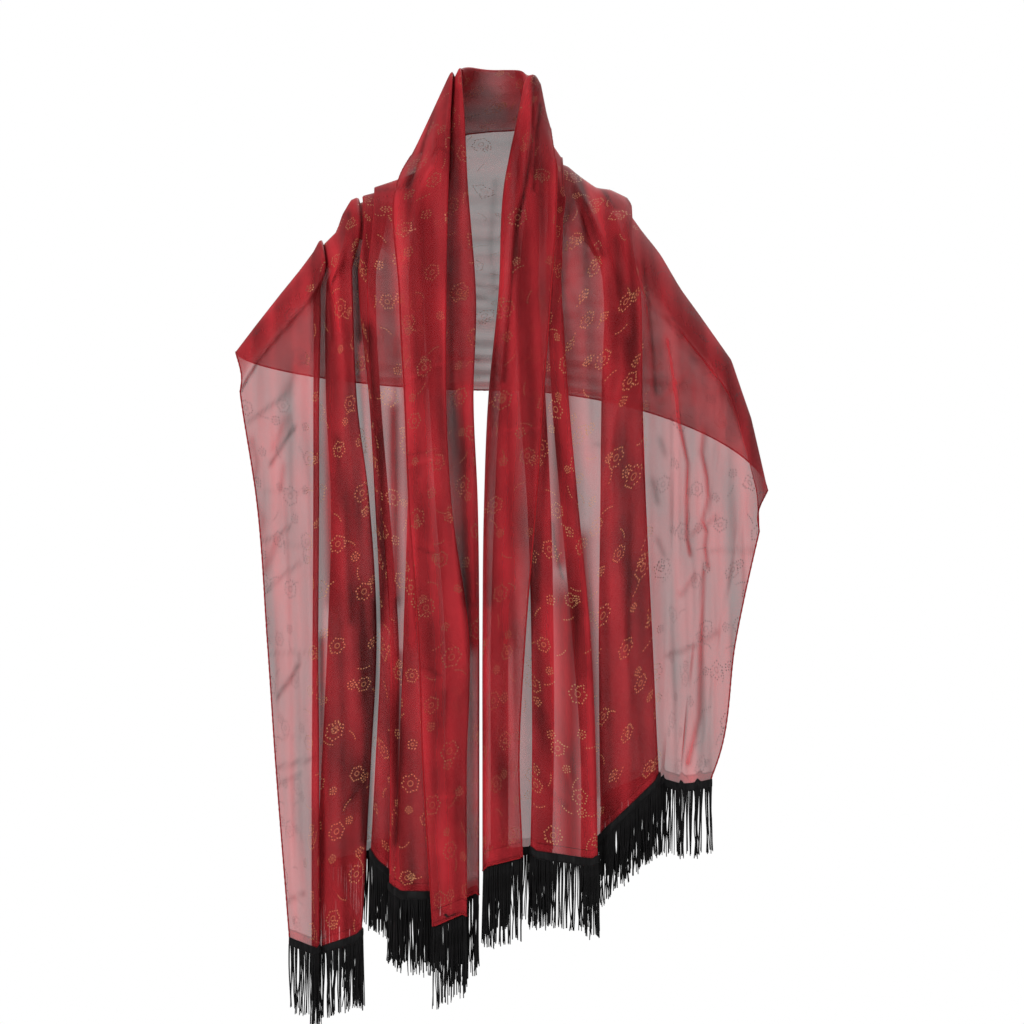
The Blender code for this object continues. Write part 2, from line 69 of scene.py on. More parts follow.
# Folds at the photo's left, from the outer free edge to the free neck edge. Columns: name, x in mm on the
# ridge, x at each level, x at the hem, height of the hem, depth of the layer that follows
LEFT_FOLDS = (
    ("outer_edge", -323, -323, -323, -315, -296, -283, -273, -256, -958, 0),
    ("pleat_right", -220, -220, -218, -220, -220, -221, -220, -220, -972, -6),
    ("pleat_left", -228, -228, -227, -227, -227, -228, -229, -229, -974, -12),
    ("bundle_right", -181, -181, -179, -174, -159, -150, -157, -168, -952, -19),
    ("bundle_left", -206, -206, -212, -212, -206, -210, -217, -223, -870, -26),
    ("tuck_right", -156, -156, -161, -151, -139, -129, -129, -131, -845, -20),
    ("strip_left", -176, -176, -171, -159, -152, -145, -151, -157, -855, -13),
    ("strip_right", -146, -146, -151, -145, -135, -123, -123, -123, -886, -7),
    ("inset_left", -159, -159, -161, -155, -144, -133, -133, -134, -895, -1),
    ("under_right", -93, -93, -93, -90, -88, -81, -76, -73, -906, 5),
    ("under_left", -112, -112, -110, -107, -111, -117, -122, -127, -900, 11),
    ("roll", -55, -44, -29, -32, -27, -25, -25, -25, -899, 18),
    ("lapel_tuck", -85, -88, -92, -85, -78, -66, -66, -65, -919, 24),
    ("lapel_right", -60, -62, -65, -65, -59, -37, -40, -40, -924, 30),
    ("neck_edge", -109, -118, -121, -115, -110, -98, -93, -81, -942, 30),
)

# Folds at the photo's right, in the same columns
RIGHT_FOLDS = (
    ("outer_edge", 327, 327, 327, 327, 327, 287, 265, 257, -766, 0),
    ("arm_low", 307, 307, 307, 307, 299, 266, 246, 240, -770, 0),
    ("arm_mid", 267, 267, 267, 271, 259, 237, 222, 220, -772, 0),
    ("arm_high", 205, 205, 205, 210, 210, 205, 200, 198, -765, 0),
    ("bundle_left", 102, 104, 126, 123, 122, 120, 121, 122, -793, 7),
    ("bundle_right", 162, 162, 171, 173, 177, 185, 192, 193, -762, 14),
    ("inset_left", 65, 68, 59, 63, 73, 88, 98, 98, -852, 21),
    ("panel_right", 81, 82, 76, 83, 94, 110, 116, 118, -861, 28),
    ("panel_left", 56, 43, 22, 24, 33, 38, 39, 37, -849, 21),
    ("tuck_right", 62, 61, 49, 55, 61, 65, 65, 63, -844, 14),
    ("stripe_left", 50, 27, 10, 0, -6, -11, -11, -11, -849, 8),
    ("stripe_right", 55, 39, 24, 17, 13, 10, 10, 10, -849, 2),
    ("roll", 41, 9, -2, -14, -19, -21, -21, -21, -870, 36),
    ("neck_edge", 62, 67, 61, 52, 44, 30, 23, 27, -858, 36),
)

# The ridge that the cloth makes over arm, shoulder and neck, seen from the front: x and height in mm
LEFT_RIDGE = (
    (-336, -262), (-323, -246), (-299, -214), (-268, -174), (-244, -144), (-228, -122), (-222, -110),
    (-207, -95), (-200, -74), (-189, -54), (-177, -46), (-156, -35), (-134, -22), (-112, -10),
    (-100, 15), (-83, 51), (-65, 90), (-55, 110), (-24, 110),
)
RIGHT_RIDGE = (
    (342, -445), (327, -415), (316, -366), (307, -327), (295, -292), (283, -256), (267, -233),
    (244, -200), (221, -168), (198, -128), (178, -98), (162, -68), (157, -56), (139, -41), (124, -35),
    (112, -24), (99, -13), (92, -7), (78, -2), (66, 16), (57, 48), (50, 84), (41, 100), (12, 100),
)

# How the cloth lies on a general figure, by distance from the middle in mm:
# distance, y of the ridge, y of the front layer, drop in which the cloth turns down in front,
# y of the back, drop in which it turns down behind
FIGURE = (
    (0, 0, -150, 270, 100, 130),
    (55, 0, -149, 270, 102, 120),
    (100, 4, -144, 160, 105, 100),
    (160, 0, -134, 120, 92, 90),
    (220, -20, -118, 60, 66, 70),
    (330, -45, -105, 50, 4, 50),
)

# The nape: its half round in plan, and the heights between which shoulders become neck
NAPE_MIDDLE = -0.007
NAPE_HALF_WIDTH = 0.048
NAPE_DEPTH = 0.066
NAPE_LOW = -0.05
NAPE_HIGH = 0.03

# The back seen from behind, at its middle
BACK_LOW = -0.290
BACK_TOP = 0.106
COLLAR_FALL = 0.074
COLLAR_STAND = 0.008
SWAG_DEPTH = 0.011
SWAG_COUNT = 4.5

# Creases seen from the front. Columns: name, height in mm (below 0 a trough), half width in mm,
# shade as painted shade and painted highlight (-1 darkest painted shade, 1 lightest painted highlight), added
# cover, points as x and height in mm
FRONT_CREASES = (
    ("sheer_slant_top", -1.5, 2.5, -0.6, 0.3, ((-305, -331), (-261, -299))),
    ("sheer_smudge_top", 2.0, 6, -0.1, 0.35, ((-261, -299), (-246, -262))),
    ("sheer_slit", -2.0, 2.2, -0.8, 0.5, ((-279, -383), (-265, -361), (-250, -339))),
    ("sheer_smudge_mid", 2.0, 5, 0.0, 0.3, ((-273, -364), (-259, -327))),
    ("sheer_short", 1.5, 3, 0.0, 0.25, ((-265, -414), (-262, -386))),
    ("sheer_store_a", -0.8, 2, -0.2, 0.12, ((-287, -417), (-228, -417))),
    ("sheer_slant_mid", -1.5, 2.2, -0.5, 0.35, ((-292, -479), (-274, -473), (-255, -459))),
    ("sheer_smudge_low", 2.0, 5, 0.0, 0.35, ((-285, -512), (-278, -495), (-271, -475))),
    ("sheer_store_b", -0.8, 2, -0.2, 0.12, ((-271, -482), (-228, -482))),
    ("sheer_slant_low", -1.2, 2.5, -0.4, 0.25, ((-284, -537), (-262, -517), (-243, -504))),
    ("sheer_streak", -2.0, 2.5, -0.7, 0.45, ((-271, -666), (-257, -647), (-244, -626))),
    ("sheer_store_c", -0.8, 2, -0.2, 0.15, ((-283, -615), (-226, -611))),
    ("sheer_store_d", -0.8, 2, -0.15, 0.1, ((-272, -717), (-226, -714))),
    ("sheer_fold_low", -1.5, 2.5, -0.5, 0.3, ((-272, -753), (-254, -748), (-226, -741))),
    ("sheer_fold_last", -1.0, 3, -0.3, 0.2, ((-272, -773), (-243, -761))),
    ("sheer_hem_slant", -1.4, 2.5, -0.5, 0.3, ((-265, -921), (-249, -909), (-240, -906))),
    ("edge_smudge_a", 1.5, 4, 0.0, 0.35, ((-303, -354), (-295, -381), (-299, -403))),
    ("edge_smudge_b", 1.5, 4, 0.0, 0.35, ((-298, -427), (-288, -451), (-293, -486))),
    ("edge_smudge_c", 1.5, 5, 0.0, 0.25, ((-290, -549), (-283, -598))),
    ("column_shadow_high", 0.0, 7, -0.9, 0.2, ((-196, -354), (-192, -415), (-187, -464), (-183, -525),
      (-181, -573))),
    ("column_shadow_wide", 0.0, 15, -0.75, 0.2, ((-166, -537), (-166, -622), (-170, -695), (-174, -769),
      (-178, -842))),
    ("column_shadow_edge", -2.0, 4, -0.8, 0.3, ((-150, -549), (-152, -647), (-160, -744), (-165, -842))),
    ("column_slant", 2.0, 3, -0.5, 0.1, ((-192, -804), (-176, -781), (-161, -748))),
    ("column_light", 2.0, 6, 0.35, 0.0, ((-203, -122), (-193, -220), (-185, -329), (-176, -439),
      (-168, -537))),
    ("second_shadow", -2.0, 9, -0.95, 0.4, ((-159, -220), (-152, -305), (-146, -366), (-143, -427),
      (-140, -500), (-144, -573))),
    ("inset_line", 2.0, 1.8, 0.1, 0.5, ((-127, -232), (-127, -305), (-128, -378), (-129, -451),
      (-131, -500))),
    ("strip_shadow", -2.0, 4, -0.8, 0.3, ((-124, -549), (-122, -647), (-123, -744), (-126, -842))),
    ("lapel_ridge", 2.5, 2.2, 0.5, 0.1, ((-59, 96), (-62, 23), (-63, -43), (-65, -109), (-66, -232),
      (-65, -333), (-57, -434), (-55, -495), (-49, -547), (-41, -622))),
    ("lapel_dark_side", -1.0, 9, -0.5, 0.1, ((-51, 73), (-50, -43), (-52, -134), (-56, -232),
      (-54, -329), (-46, -427), (-41, -500), (-39, -549))),
    ("lapel_edge_light", 1.5, 1.6, 0.3, 0.0, ((-33, -373), (-33, -464), (-32, -549))),
    ("lapel_left_ridge", 3.0, 3, 0.35, 0.0, ((-77, 62), (-92, 27), (-102, 1), (-116, -29), (-121, -55),
      (-122, -93), (-120, -129), (-121, -229))),
    ("lapel_valley", -4.0, 3, -1.0, 0.2, ((-81, 59), (-85, 35), (-93, 12), (-101, -21), (-111, -45))),
    ("lapel_streak", 3.0, 4, 0.4, 0.0, ((-83, -27), (-101, -65), (-109, -99), (-112, -134))),
    ("lapel_bow", -1.2, 2, -0.3, 0.0, ((-82, -9), (-72, 0), (-60, -7))),
    ("lapel_slant", 1.6, 1.8, 0.35, 0.0, ((-109, -282), (-85, -268), (-66, -261))),
    ("lapel_store_a", -1.0, 1.8, -0.25, 0.0, ((-110, -372), (-88, -370), (-67, -370))),
    ("lapel_store_b", 1.4, 1.8, 0.3, 0.0, ((-109, -386), (-94, -381), (-72, -377))),
    ("lapel_nick", -1.4, 2, -0.4, 0.0, ((-102, -484), (-78, -494))),
    ("lapel_long_light", 2.0, 5, 0.3, 0.0, ((-96, -403), (-101, -476), (-106, -549), (-98, -647),
      (-88, -744), (-73, -854))),
    ("lapel_low_nick", -1.2, 2.5, -0.35, 0.0, ((-98, -628), (-83, -632), (-73, -639))),
    ("lapel_low_bow", 1.2, 2, 0.3, 0.0, ((-90, -783), (-67, -786), (-46, -783), (-40, -776))),
    ("lapel_low_dark", -1.5, 4, -0.4, 0.0, ((-66, -659), (-68, -720), (-63, -769))),
    ("lapel_end_slant", -1.4, 3, -0.3, 0.0, ((-73, -921), (-62, -930), (-54, -926))),
    ("shoulder_line", -2.0, 2.2, -0.5, 0.3, ((-185, -56), (-157, -48), (-127, -46), (-121, -52))),
    ("shoulder_valley", -3.5, 4.5, -1.0, 0.6, ((-185, -76), (-178, -107), (-174, -137), (-173, -183),
      (-171, -232))),
    ("shoulder_ridge", 3.0, 3, 0.35, 0.1, ((-220, -109), (-216, -129), (-200, -173), (-194, -217))),
    ("shoulder_dark_a", -2.0, 2.2, -0.6, 0.2, ((-215, -116), (-209, -162), (-206, -195), (-204, -232))),
    ("shoulder_dark_b", -1.5, 3, -0.5, 0.2, ((-228, -116), (-226, -171), (-224, -244))),
    ("shoulder_fan", 2.5, 4, 0.3, 0.2, ((-184, -87), (-173, -116), (-161, -171), (-146, -226))),
    ("arm_slant", 1.2, 3, 0.2, 0.0, ((-290, -205), (-262, -173), (-238, -137))),
    ("right_valley", -4.0, 2.5, -1.0, 0.2, ((41, 93), (40, 26), (35, -24), (29, -59), (21, -93),
      (16, -143), (10, -227), (5, -283))),
    ("right_valley_side", 2.5, 2.5, 0.35, 0.0, ((37, 73), (35, 26), (29, -24), (23, -59), (15, -93),
      (10, -143), (4, -220))),
    ("right_second_valley", -3.0, 2.5, -0.8, 0.1, ((49, 56), (45, 26), (43, -16), (41, -52))),
    ("right_free_edge", 2.0, 2.0, 0.4, 0.0, ((67, -12), (67, -143), (60, -227), (56, -281), (50, -342),
      (44, -434), (38, -515))),
    ("right_store_a", 1.2, 1.8, 0.25, 0.0, ((-13, -345), (18, -342), (50, -340))),
    ("right_shadow", -1.5, 6, -0.55, 0.1, ((-7, -244), (-6, -354), (-9, -451), (-10, -549))),
    ("right_curve", -2.0, 1.8, -0.9, 0.1, ((63, -454), (66, -484), (76, -521))),
    ("right_panel_dark", -1.5, 6, -0.4, 0.1, ((60, -281), (55, -354), (50, -451), (46, -549))),
    ("pocket", -5.0, 5, -1.0, 0.6, ((94, -24), (105, -61), (115, -100), (124, -129))),
    ("pocket_mouth", 3.0, 3, 0.2, 0.3, ((81, -56), (88, -100), (110, -113), (122, -137))),
    ("gather_ridge_a", 4.0, 3.5, 0.45, 0.2, ((99, -20), (116, -65), (127, -104), (135, -134), (144, -199))),
    ("gather_dark_a", -3.0, 3, -0.8, 0.3, ((110, -30), (127, -49), (142, -70))),
    ("gather_ridge_b", 3.5, 3.5, 0.35, 0.1, ((90, -9), (117, -32), (133, -48), (144, -76), (151, -116),
      (156, -163))),
    ("gather_dark_b", -2.5, 6, -0.65, 0.3, ((142, -110), (143, -171), (142, -255))),
    ("gather_ridge_c", 3.0, 3, 0.3, 0.1, ((137, -44), (160, -67), (167, -100), (171, -171), (171, -305))),
    ("gather_left", 2.5, 4, 0.2, 0.1, ((73, -12), (78, -61), (74, -116), (85, -183))),
    ("gather_left_dark", -2.0, 4, -0.5, 0.2, ((92, -43), (89, -67), (81, -88))),
    ("inner_slant", -1.5, 4, -0.4, 0.1, ((76, -152), (93, -185), (98, -220))),
    ("sheer_dark_line", -2.0, 2.6, -0.8, 0.5, ((174, -137), (183, -212), (187, -256), (189, -296))),
    ("bright_a", 2.5, 2.2, 0.3, 0.75, ((203, -232), (209, -268), (215, -309), (217, -333), (222, -355),
      (228, -382), (227, -434), (227, -472), (231, -493))),
    ("bright_a_low", 2.5, 2.5, 0.3, 0.6, ((248, -514), (246, -561), (243, -610), (242, -689), (229, -748))),
    ("bright_slant", 2.0, 2.5, 0.25, 0.45, ((193, -307), (212, -290), (229, -272))),
    ("bright_short", 1.5, 2.5, 0.2, 0.4, ((235, -278), (235, -309))),
    ("bright_b", 2.5, 2.2, 0.25, 0.6, ((248, -342), (245, -370), (251, -400), (253, -425), (246, -453),
      (251, -465), (249, -484), (253, -509))),
    ("right_slant", 2.0, 2.5, 0.1, 0.3, ((229, -472), (246, -459), (264, -447))),
    ("right_slant_low", 2.0, 2.5, 0.1, 0.3, ((220, -542), (237, -518))),
    ("right_slant_last", -1.5, 2.5, -0.3, 0.3, ((204, -616), (224, -610), (250, -598), (264, -588))),
    ("right_store_b", -1.0, 2, -0.25, 0.2, ((253, -489), (281, -488), (310, -489))),
    ("right_store_c", -1.0, 2, -0.3, 0.15, ((93, -362), (110, -362), (135, -357))),
    # Painted shadow patches on the sheer cloth at the right, with a slight rise and a little added cover
    ("smudge_a", 1.5, 4, -0.5, 0.25, ((194, -354), (200, -370))),
    ("smudge_b", 1.5, 4, -0.6, 0.3, ((185, -404), (190, -429))),
    ("smudge_c", 1.5, 4, -0.5, 0.25, ((190, -475), (199, -494))),
    ("soft_ridge", 2.5, 4, 0.35, 0.0, ((146, -244), (150, -272), (144, -299), (138, -333), (134, -361),
      (129, -394), (123, -434), (120, -476))),
    ("soft_dark", -2.0, 4, -0.5, 0.1, ((156, -232), (159, -305), (161, -390), (159, -500), (156, -598))),
    ("soft_ridge_low", 2.5, 5, 0.25, 0.0, ((144, -500), (149, -598), (161, -695), (171, -756))),
    ("right_fan_dark", -1.5, 3, -0.4, 0.0, ((38, -726), (46, -756), (59, -775), (81, -800))),
    ("right_fan_light", 2.0, 4, 0.3, 0.0, ((55, -659), (68, -720), (92, -781))),
    ("right_low_light", 2.0, 5, 0.3, 0.0, ((104, -573), (107, -671), (112, -756), (115, -830))),
    ("right_low_dark", -2.0, 4, -0.5, 0.1, ((92, -549), (94, -647), (100, -744))),
    ("strip_dense", 0.0, 9, -0.2, 0.88, ((-128, -317), (-127, -427), (-126, -549))),
    ("lapel_edge_dense", 0.0, 11, 0.0, 0.9, ((-43, -293), (-38, -427), (-32, -598))),
    ("panel_left_dense", 0.0, 14, -0.1, 0.85, ((15, -305), (10, -500), (6, -598))),
    ("sheer_low_dense", 0.0, 7, -0.2, 0.8, ((-217, -598), (-217, -952))),
    ("column_top_dense", 0.0, 9, -0.2, 0.8, ((-207, -281), (-207, -427), (-204, -549))),
    ("lapel_dense", 0.0, 12, 0.0, 0.9, ((-96, -293), (-93, -403), (-83, -500), (-76, -598), (-67, -915))),
    ("lapel_left_dense", 0.0, 9, 0.0, 0.85, ((-111, -293), (-107, -403), (-107, -500), (-107, -598))),
    ("strip_low_dense", 0.0, 9, -0.25, 0.85, ((-123, -616), (-123, -891))),
    ("panel_dense", 0.0, 14, 0.0, 0.85, ((68, -220), (73, -305), (76, -403), (74, -500))),
    ("panel_low_dense", 0.0, 12, -0.05, 0.9, ((98, -476), (110, -647), (113, -781))),
    ("right_low_dense", 0.0, 34, -0.10, 0.92, ((79, -549), (82, -671), (85, -854))),
    ("right_mid_dense", 0.0, 16, -0.10, 0.40, ((55, -300), (55, -427), (62, -549))),
    ("stripe_a", 2.0, 4, 0.2, 0.1, ((-17, -598), (-20, -720), (-17, -842))),
    ("stripe_b", 2.0, 4, 0.2, 0.1, ((16, -598), (15, -720), (17, -842))),
)

# Creases of the back in the same columns: slants from the shoulders, and lines of storage
BACK_CREASES = (
    ("left_slant", 3.5, 5, 0.3, 0.2, ((-170, -60), (-120, -110), (-60, -150), (0, -165))),
    ("left_slant_dark", -3.0, 6, -0.7, 0.2, ((-176, -78), (-122, -128), (-58, -166), (4, -180))),
    ("left_slant_low", 2.8, 6, 0.2, 0.2, ((-250, -170), (-190, -215), (-110, -245), (-30, -255))),
    ("right_slant", 3.5, 5, 0.3, 0.2, ((150, -60), (110, -120), (50, -160), (-10, -170))),
    ("right_slant_dark", -3.0, 6, -0.7, 0.2, ((158, -76), (116, -136), (54, -177), (-4, -186))),
    ("right_slant_low", 2.8, 6, 0.2, 0.2, ((240, -215), (180, -245), (100, -262), (20, -262))),
    ("right_slant_last", -2.0, 5, -0.5, 0.2, ((290, -300), (220, -280), (150, -276))),
    ("nape_fan_left", 3.0, 4, 0.3, 0.1, ((-60, 30), (-75, -20), (-110, -60))),
    ("nape_fan_left_dark", -3.0, 4, -0.7, 0.2, ((-52, 26), (-64, -24), (-92, -68))),
    ("nape_fan_right", 3.0, 4, 0.3, 0.1, ((50, 30), (68, -20), (105, -60))),
    ("nape_fan_right_dark", -3.0, 4, -0.7, 0.2, ((42, 26), (58, -26), (88, -70))),
    ("middle_line", -1.8, 3, -0.5, 0.2, ((-6, -30), (-12, -110), (-4, -200))),
    ("store_upright", 1.4, 2.5, -0.3, 0.2, ((15, -60), (18, -150), (12, -280))),
    ("store_level", -1.2, 2.5, -0.3, 0.2, ((-160, -190), (-40, -205), (90, -200))),
)

# Long shallow waves of the cloth: length across and along in mm, height in mm, phase
FLUTES = (
    (41, 900, 1.1, 0.4),
    (27, 610, 0.8, 2.1),
    (63, 400, 0.9, 4.0),
    (14, 700, 0.35, 1.2),
    (95, 160, 0.7, 5.2),
    (9, 500, 0.16, 3.3),
)

CLOTH_WALL = 0.0005
TURN_STEPS = 4

# The turned hem of the short ends, how far the braid is sewn up on it, and how near a fold the end's
# height eases over from one side of the cloth to the other
END_HEM = 0.020
BRAID_SEAT = 0.0095
FOLD_REACH = 0.008

# How the cloth rounds over from the ridge: powers of the drop for its depth and for its direction, the power
# that blends the back with the nape, and the power of the nape's half round in plan
ROUND_POWER = 0.75
TURN_POWER = 1.5
BLEND_POWER = 4.0
NAPE_POWER = 0.75

# Table levels count from so far below the ridge, each front line eases onto its ridge point from this share
# of its height, each turn in plan is at most this share of the layer's width, and relief fades in below
# the ridge
LEVEL_CLEARANCE = 0.02
RIDGE_EASE = 0.75
TURN_LIMIT = 0.4
RELIEF_FADE = 0.06
FRONT_CROWDING = 1.25

# A wide layer bellies out between its folds by so much, from this width on
BILLOW = 0.0012
BILLOW_WIDTH = 0.04

# Across the back: the share from the ridge in which the folds open out, how the columns crowd to the
# ridges, how early its lines reach the middle's height at the low edge and at the neck, and how the
# swags crowd below
OPENING_SHARE = 0.30
BACK_CROWDING = 0.85
BACK_STEP = 0.006
CLOSEST_SHARES = 0.0012
SAG_LOW = 0.55
SAG_RISE = 0.45
SWAG_CROWDING = 0.85

# Rows and columns of the back and the collar, and the most columns and points of a front piece
BACK_GRID = (110, 150)
COLLAR_GRID = (40, 150)
MOST_COLUMNS = 330
MOST_POINTS = 48000
MOST_LINES = 230.0

# Where the back and the collar begin in the cut, and how wide they are in it
BACK_CUT = (0.0, 0.60)
COLLAR_CUT = (0.60, 0.09)
BACK_CUT_START = 1.0

# Cloth seen edge-on is denser, down to this share of its normal that faces the front
MOST_EDGE_ON = 0.30

# Dotted flowers: cell and radius in metres, petals, dots round the outline, seed, share of bare cells, shift
FLOWERS = (
    (0.058, 0.0104, 6.0, 17.0, 3.0, 0.10, (0.0, 0.0)),
    (0.041, 0.0054, 5.0, 9.0, 8.0, 0.40, (0.021, 0.033)),
)
SPRIG_CELL = 0.039
SPRIG_LENGTH = 0.0085
SPRIG_SHIFT = 0.037

# Metal thread on the wrong side, and painted shade of the metal thread on single cloth against the light
DULL_THREAD = (0.075, 0.022, 0.024, 1.0)

# Rolled hems: radius, and distance between their rings
HEM_RADIUS = 0.0009
HEM_STEP = 0.0025

# Braid and strands
BRAID_SIDES = 12
BRAID_STEP = 0.0011
BRAID_HALF_WALL = 0.0010
BRAID_STAND = 0.0014
BRAID_DROP = 0.0006
BRAID_RIBS = 0.0022
STRAND_POINTS = 7
STRAND_SIDES = 4
STRAND_RADIUS = 0.00085
STRAND_TUCK = 0.001
WRONG_SIDE_FRINGE = 0.020

# Stage: name, place, size and power of each light, what they aim at, and where the camera stands
LIGHTS = (
    ("key", (-2.4, -3.0, 1.8), 1.4, 135.0),
    ("fill", (2.8, -2.6, 0.2), 2.4, 22.0),
    ("rim", (0.6, 2.6, 1.8), 2.0, 60.0),
)
LIGHT_AIM = (0.0, 0.0, -0.4)
SURROUND_LIGHT = 0.50
CAMERA_X = 0.0146
CAMERA_HEIGHT = -0.4416
CAMERA_AIM_Y = -0.06

# How much painted highlight and painted shade one millimetre of a long wave puts on the cloth, lighter on its
# ridges and darker in its troughs, and how much of the waves the back has
WAVE_SHADE = 0.22
BACK_WAVES = 0.3


class WrapCloth(PropertyGroup):
    """The sheer cloth."""
    colour: FloatVectorProperty(name="Cloth", description="Colour of the threads", subtype="COLOR", size=4,
                                min=0, max=1, default=(0.35, 0.012, 0.017, 1.0))
    gold: FloatVectorProperty(name="Gold", description="Colour of the metal thread", subtype="COLOR", size=4,
                              min=0, max=1, default=(0.50, 0.25, 0.12, 1.0))
    cover: FloatProperty(name="Cover", description="Share of the light that one layer of cloth holds back",
                         default=0.74, min=0, max=1, subtype="FACTOR")
    step: FloatProperty(name="Step", description="Distance between the mesh's lines", default=0.0030,
                        min=0.001, max=0.02, unit="LENGTH")


class WrapTrim(PropertyGroup):
    """Braid and fringe."""
    colour: FloatVectorProperty(name="Trim", description="Colour of braid and fringe", subtype="COLOR",
                                size=4,
                                min=0, max=1, default=(0.004, 0.0037, 0.004, 1.0))
    pitch: FloatProperty(name="Pitch", description="Distance between strands", default=0.0015,
                         min=0.001, max=0.02, unit="LENGTH")
    length: FloatProperty(name="Length", description="Length of the strands", default=0.080,
                          min=0.01, max=0.3, unit="LENGTH")
    seed: IntProperty(name="Seed", description="Seed of the strands' unevenness", default=11)


class WrapStage(PropertyGroup):
    """Camera, floor and lights."""
    frame_width: FloatProperty(name="Frame", description="Width that the camera sees at the wrap",
                               default=1.249, min=0.1, max=10, unit="LENGTH")
    distance: FloatProperty(name="Distance", description="From the camera to the wrap", default=8.0,
                            min=1, max=50, unit="LENGTH")
    floor: FloatProperty(name="Floor", description="Height of the floor", default=-1.5, unit="LENGTH")


def smooth_step(low, high, value):
    """0 below low, 1 above high, and an S-shaped rise between them."""
    share = np.clip((value - low) / (high - low), 0.0, 1.0)
    return share * share * (3.0 - 2.0 * share)


def smooth_curve(at, knots, values):
    """Cubic curve through the knots, with the slope at each knot taken from its neighbours."""
    slopes = np.gradient(values, knots)
    cell = np.clip(np.searchsorted(knots, at, side="right") - 1, 0, len(knots) - 2)
    width = knots[cell + 1] - knots[cell]
    s = np.clip((at - knots[cell]) / width, 0.0, 1.0)
    start = (1 + 2 * s) * (1 - s) ** 2 * values[cell] + s * (1 - s) ** 2 * width * slopes[cell]
    end = s * s * (3 - 2 * s) * values[cell + 1] + s * s * (s - 1) * width * slopes[cell + 1]
    return start + end


def figure(x, column):
    """A column of the figure's table, in metres, at a distance x from the middle."""
    table = np.array(FIGURE, dtype=float) / 1000.0
    return np.interp(np.abs(x), table[:, 0], table[:, column])


def nape_bulge(x, z):
    """How far the neck stands out behind its sides: a round bump in plan, gone below the shoulders."""
    share = np.clip(1.0 - ((x - NAPE_MIDDLE) / NAPE_HALF_WIDTH) ** 2, 0.0, 1.0)
    return NAPE_DEPTH * share ** NAPE_POWER * smooth_step(NAPE_LOW, NAPE_HIGH, z)


def crease_marks(x, z, creases):
    """Height, painted shade and painted highlight, and added cover of the creases, each of them times a bell
    of the distance to its line.
    """
    marks = np.zeros((3,) + x.shape)
    for _, height, half_width, shade, cover, points in creases:
        line = np.array(points, dtype=float) / 1000.0
        nearest = np.full(x.shape, 1.0)
        for start, end in zip(line[:-1], line[1:]):
            along = end - start
            share = ((x - start[0]) * along[0] + (z - start[1]) * along[1]) / (along @ along)
            share = np.clip(share, 0.0, 1.0)
            distance = np.hypot(x - start[0] - share * along[0], z - start[1] - share * along[1])
            nearest = np.minimum(nearest, distance)
        bell = np.exp(-(nearest * 1000.0 / half_width) ** 1.5)
        marks[0] += height / 1000.0 * bell
        marks[1] += shade * bell
        marks[2] = np.maximum(marks[2], cover * bell)
    return marks


def flute_relief(x, z, offset):
    """Height of the long waves: sines across and along, each bent by the one before."""
    total = np.zeros(x.shape)
    for index, (across, along, height, phase) in enumerate(FLUTES):
        bend = 0.7 * np.sin(2 * np.pi * z / 0.37 + phase + offset)
        total += height / 1000.0 * np.sin(2000 * np.pi * x / across + 2000 * np.pi * z / along + phase
                                          + bend + offset * (index + 1))
    return total


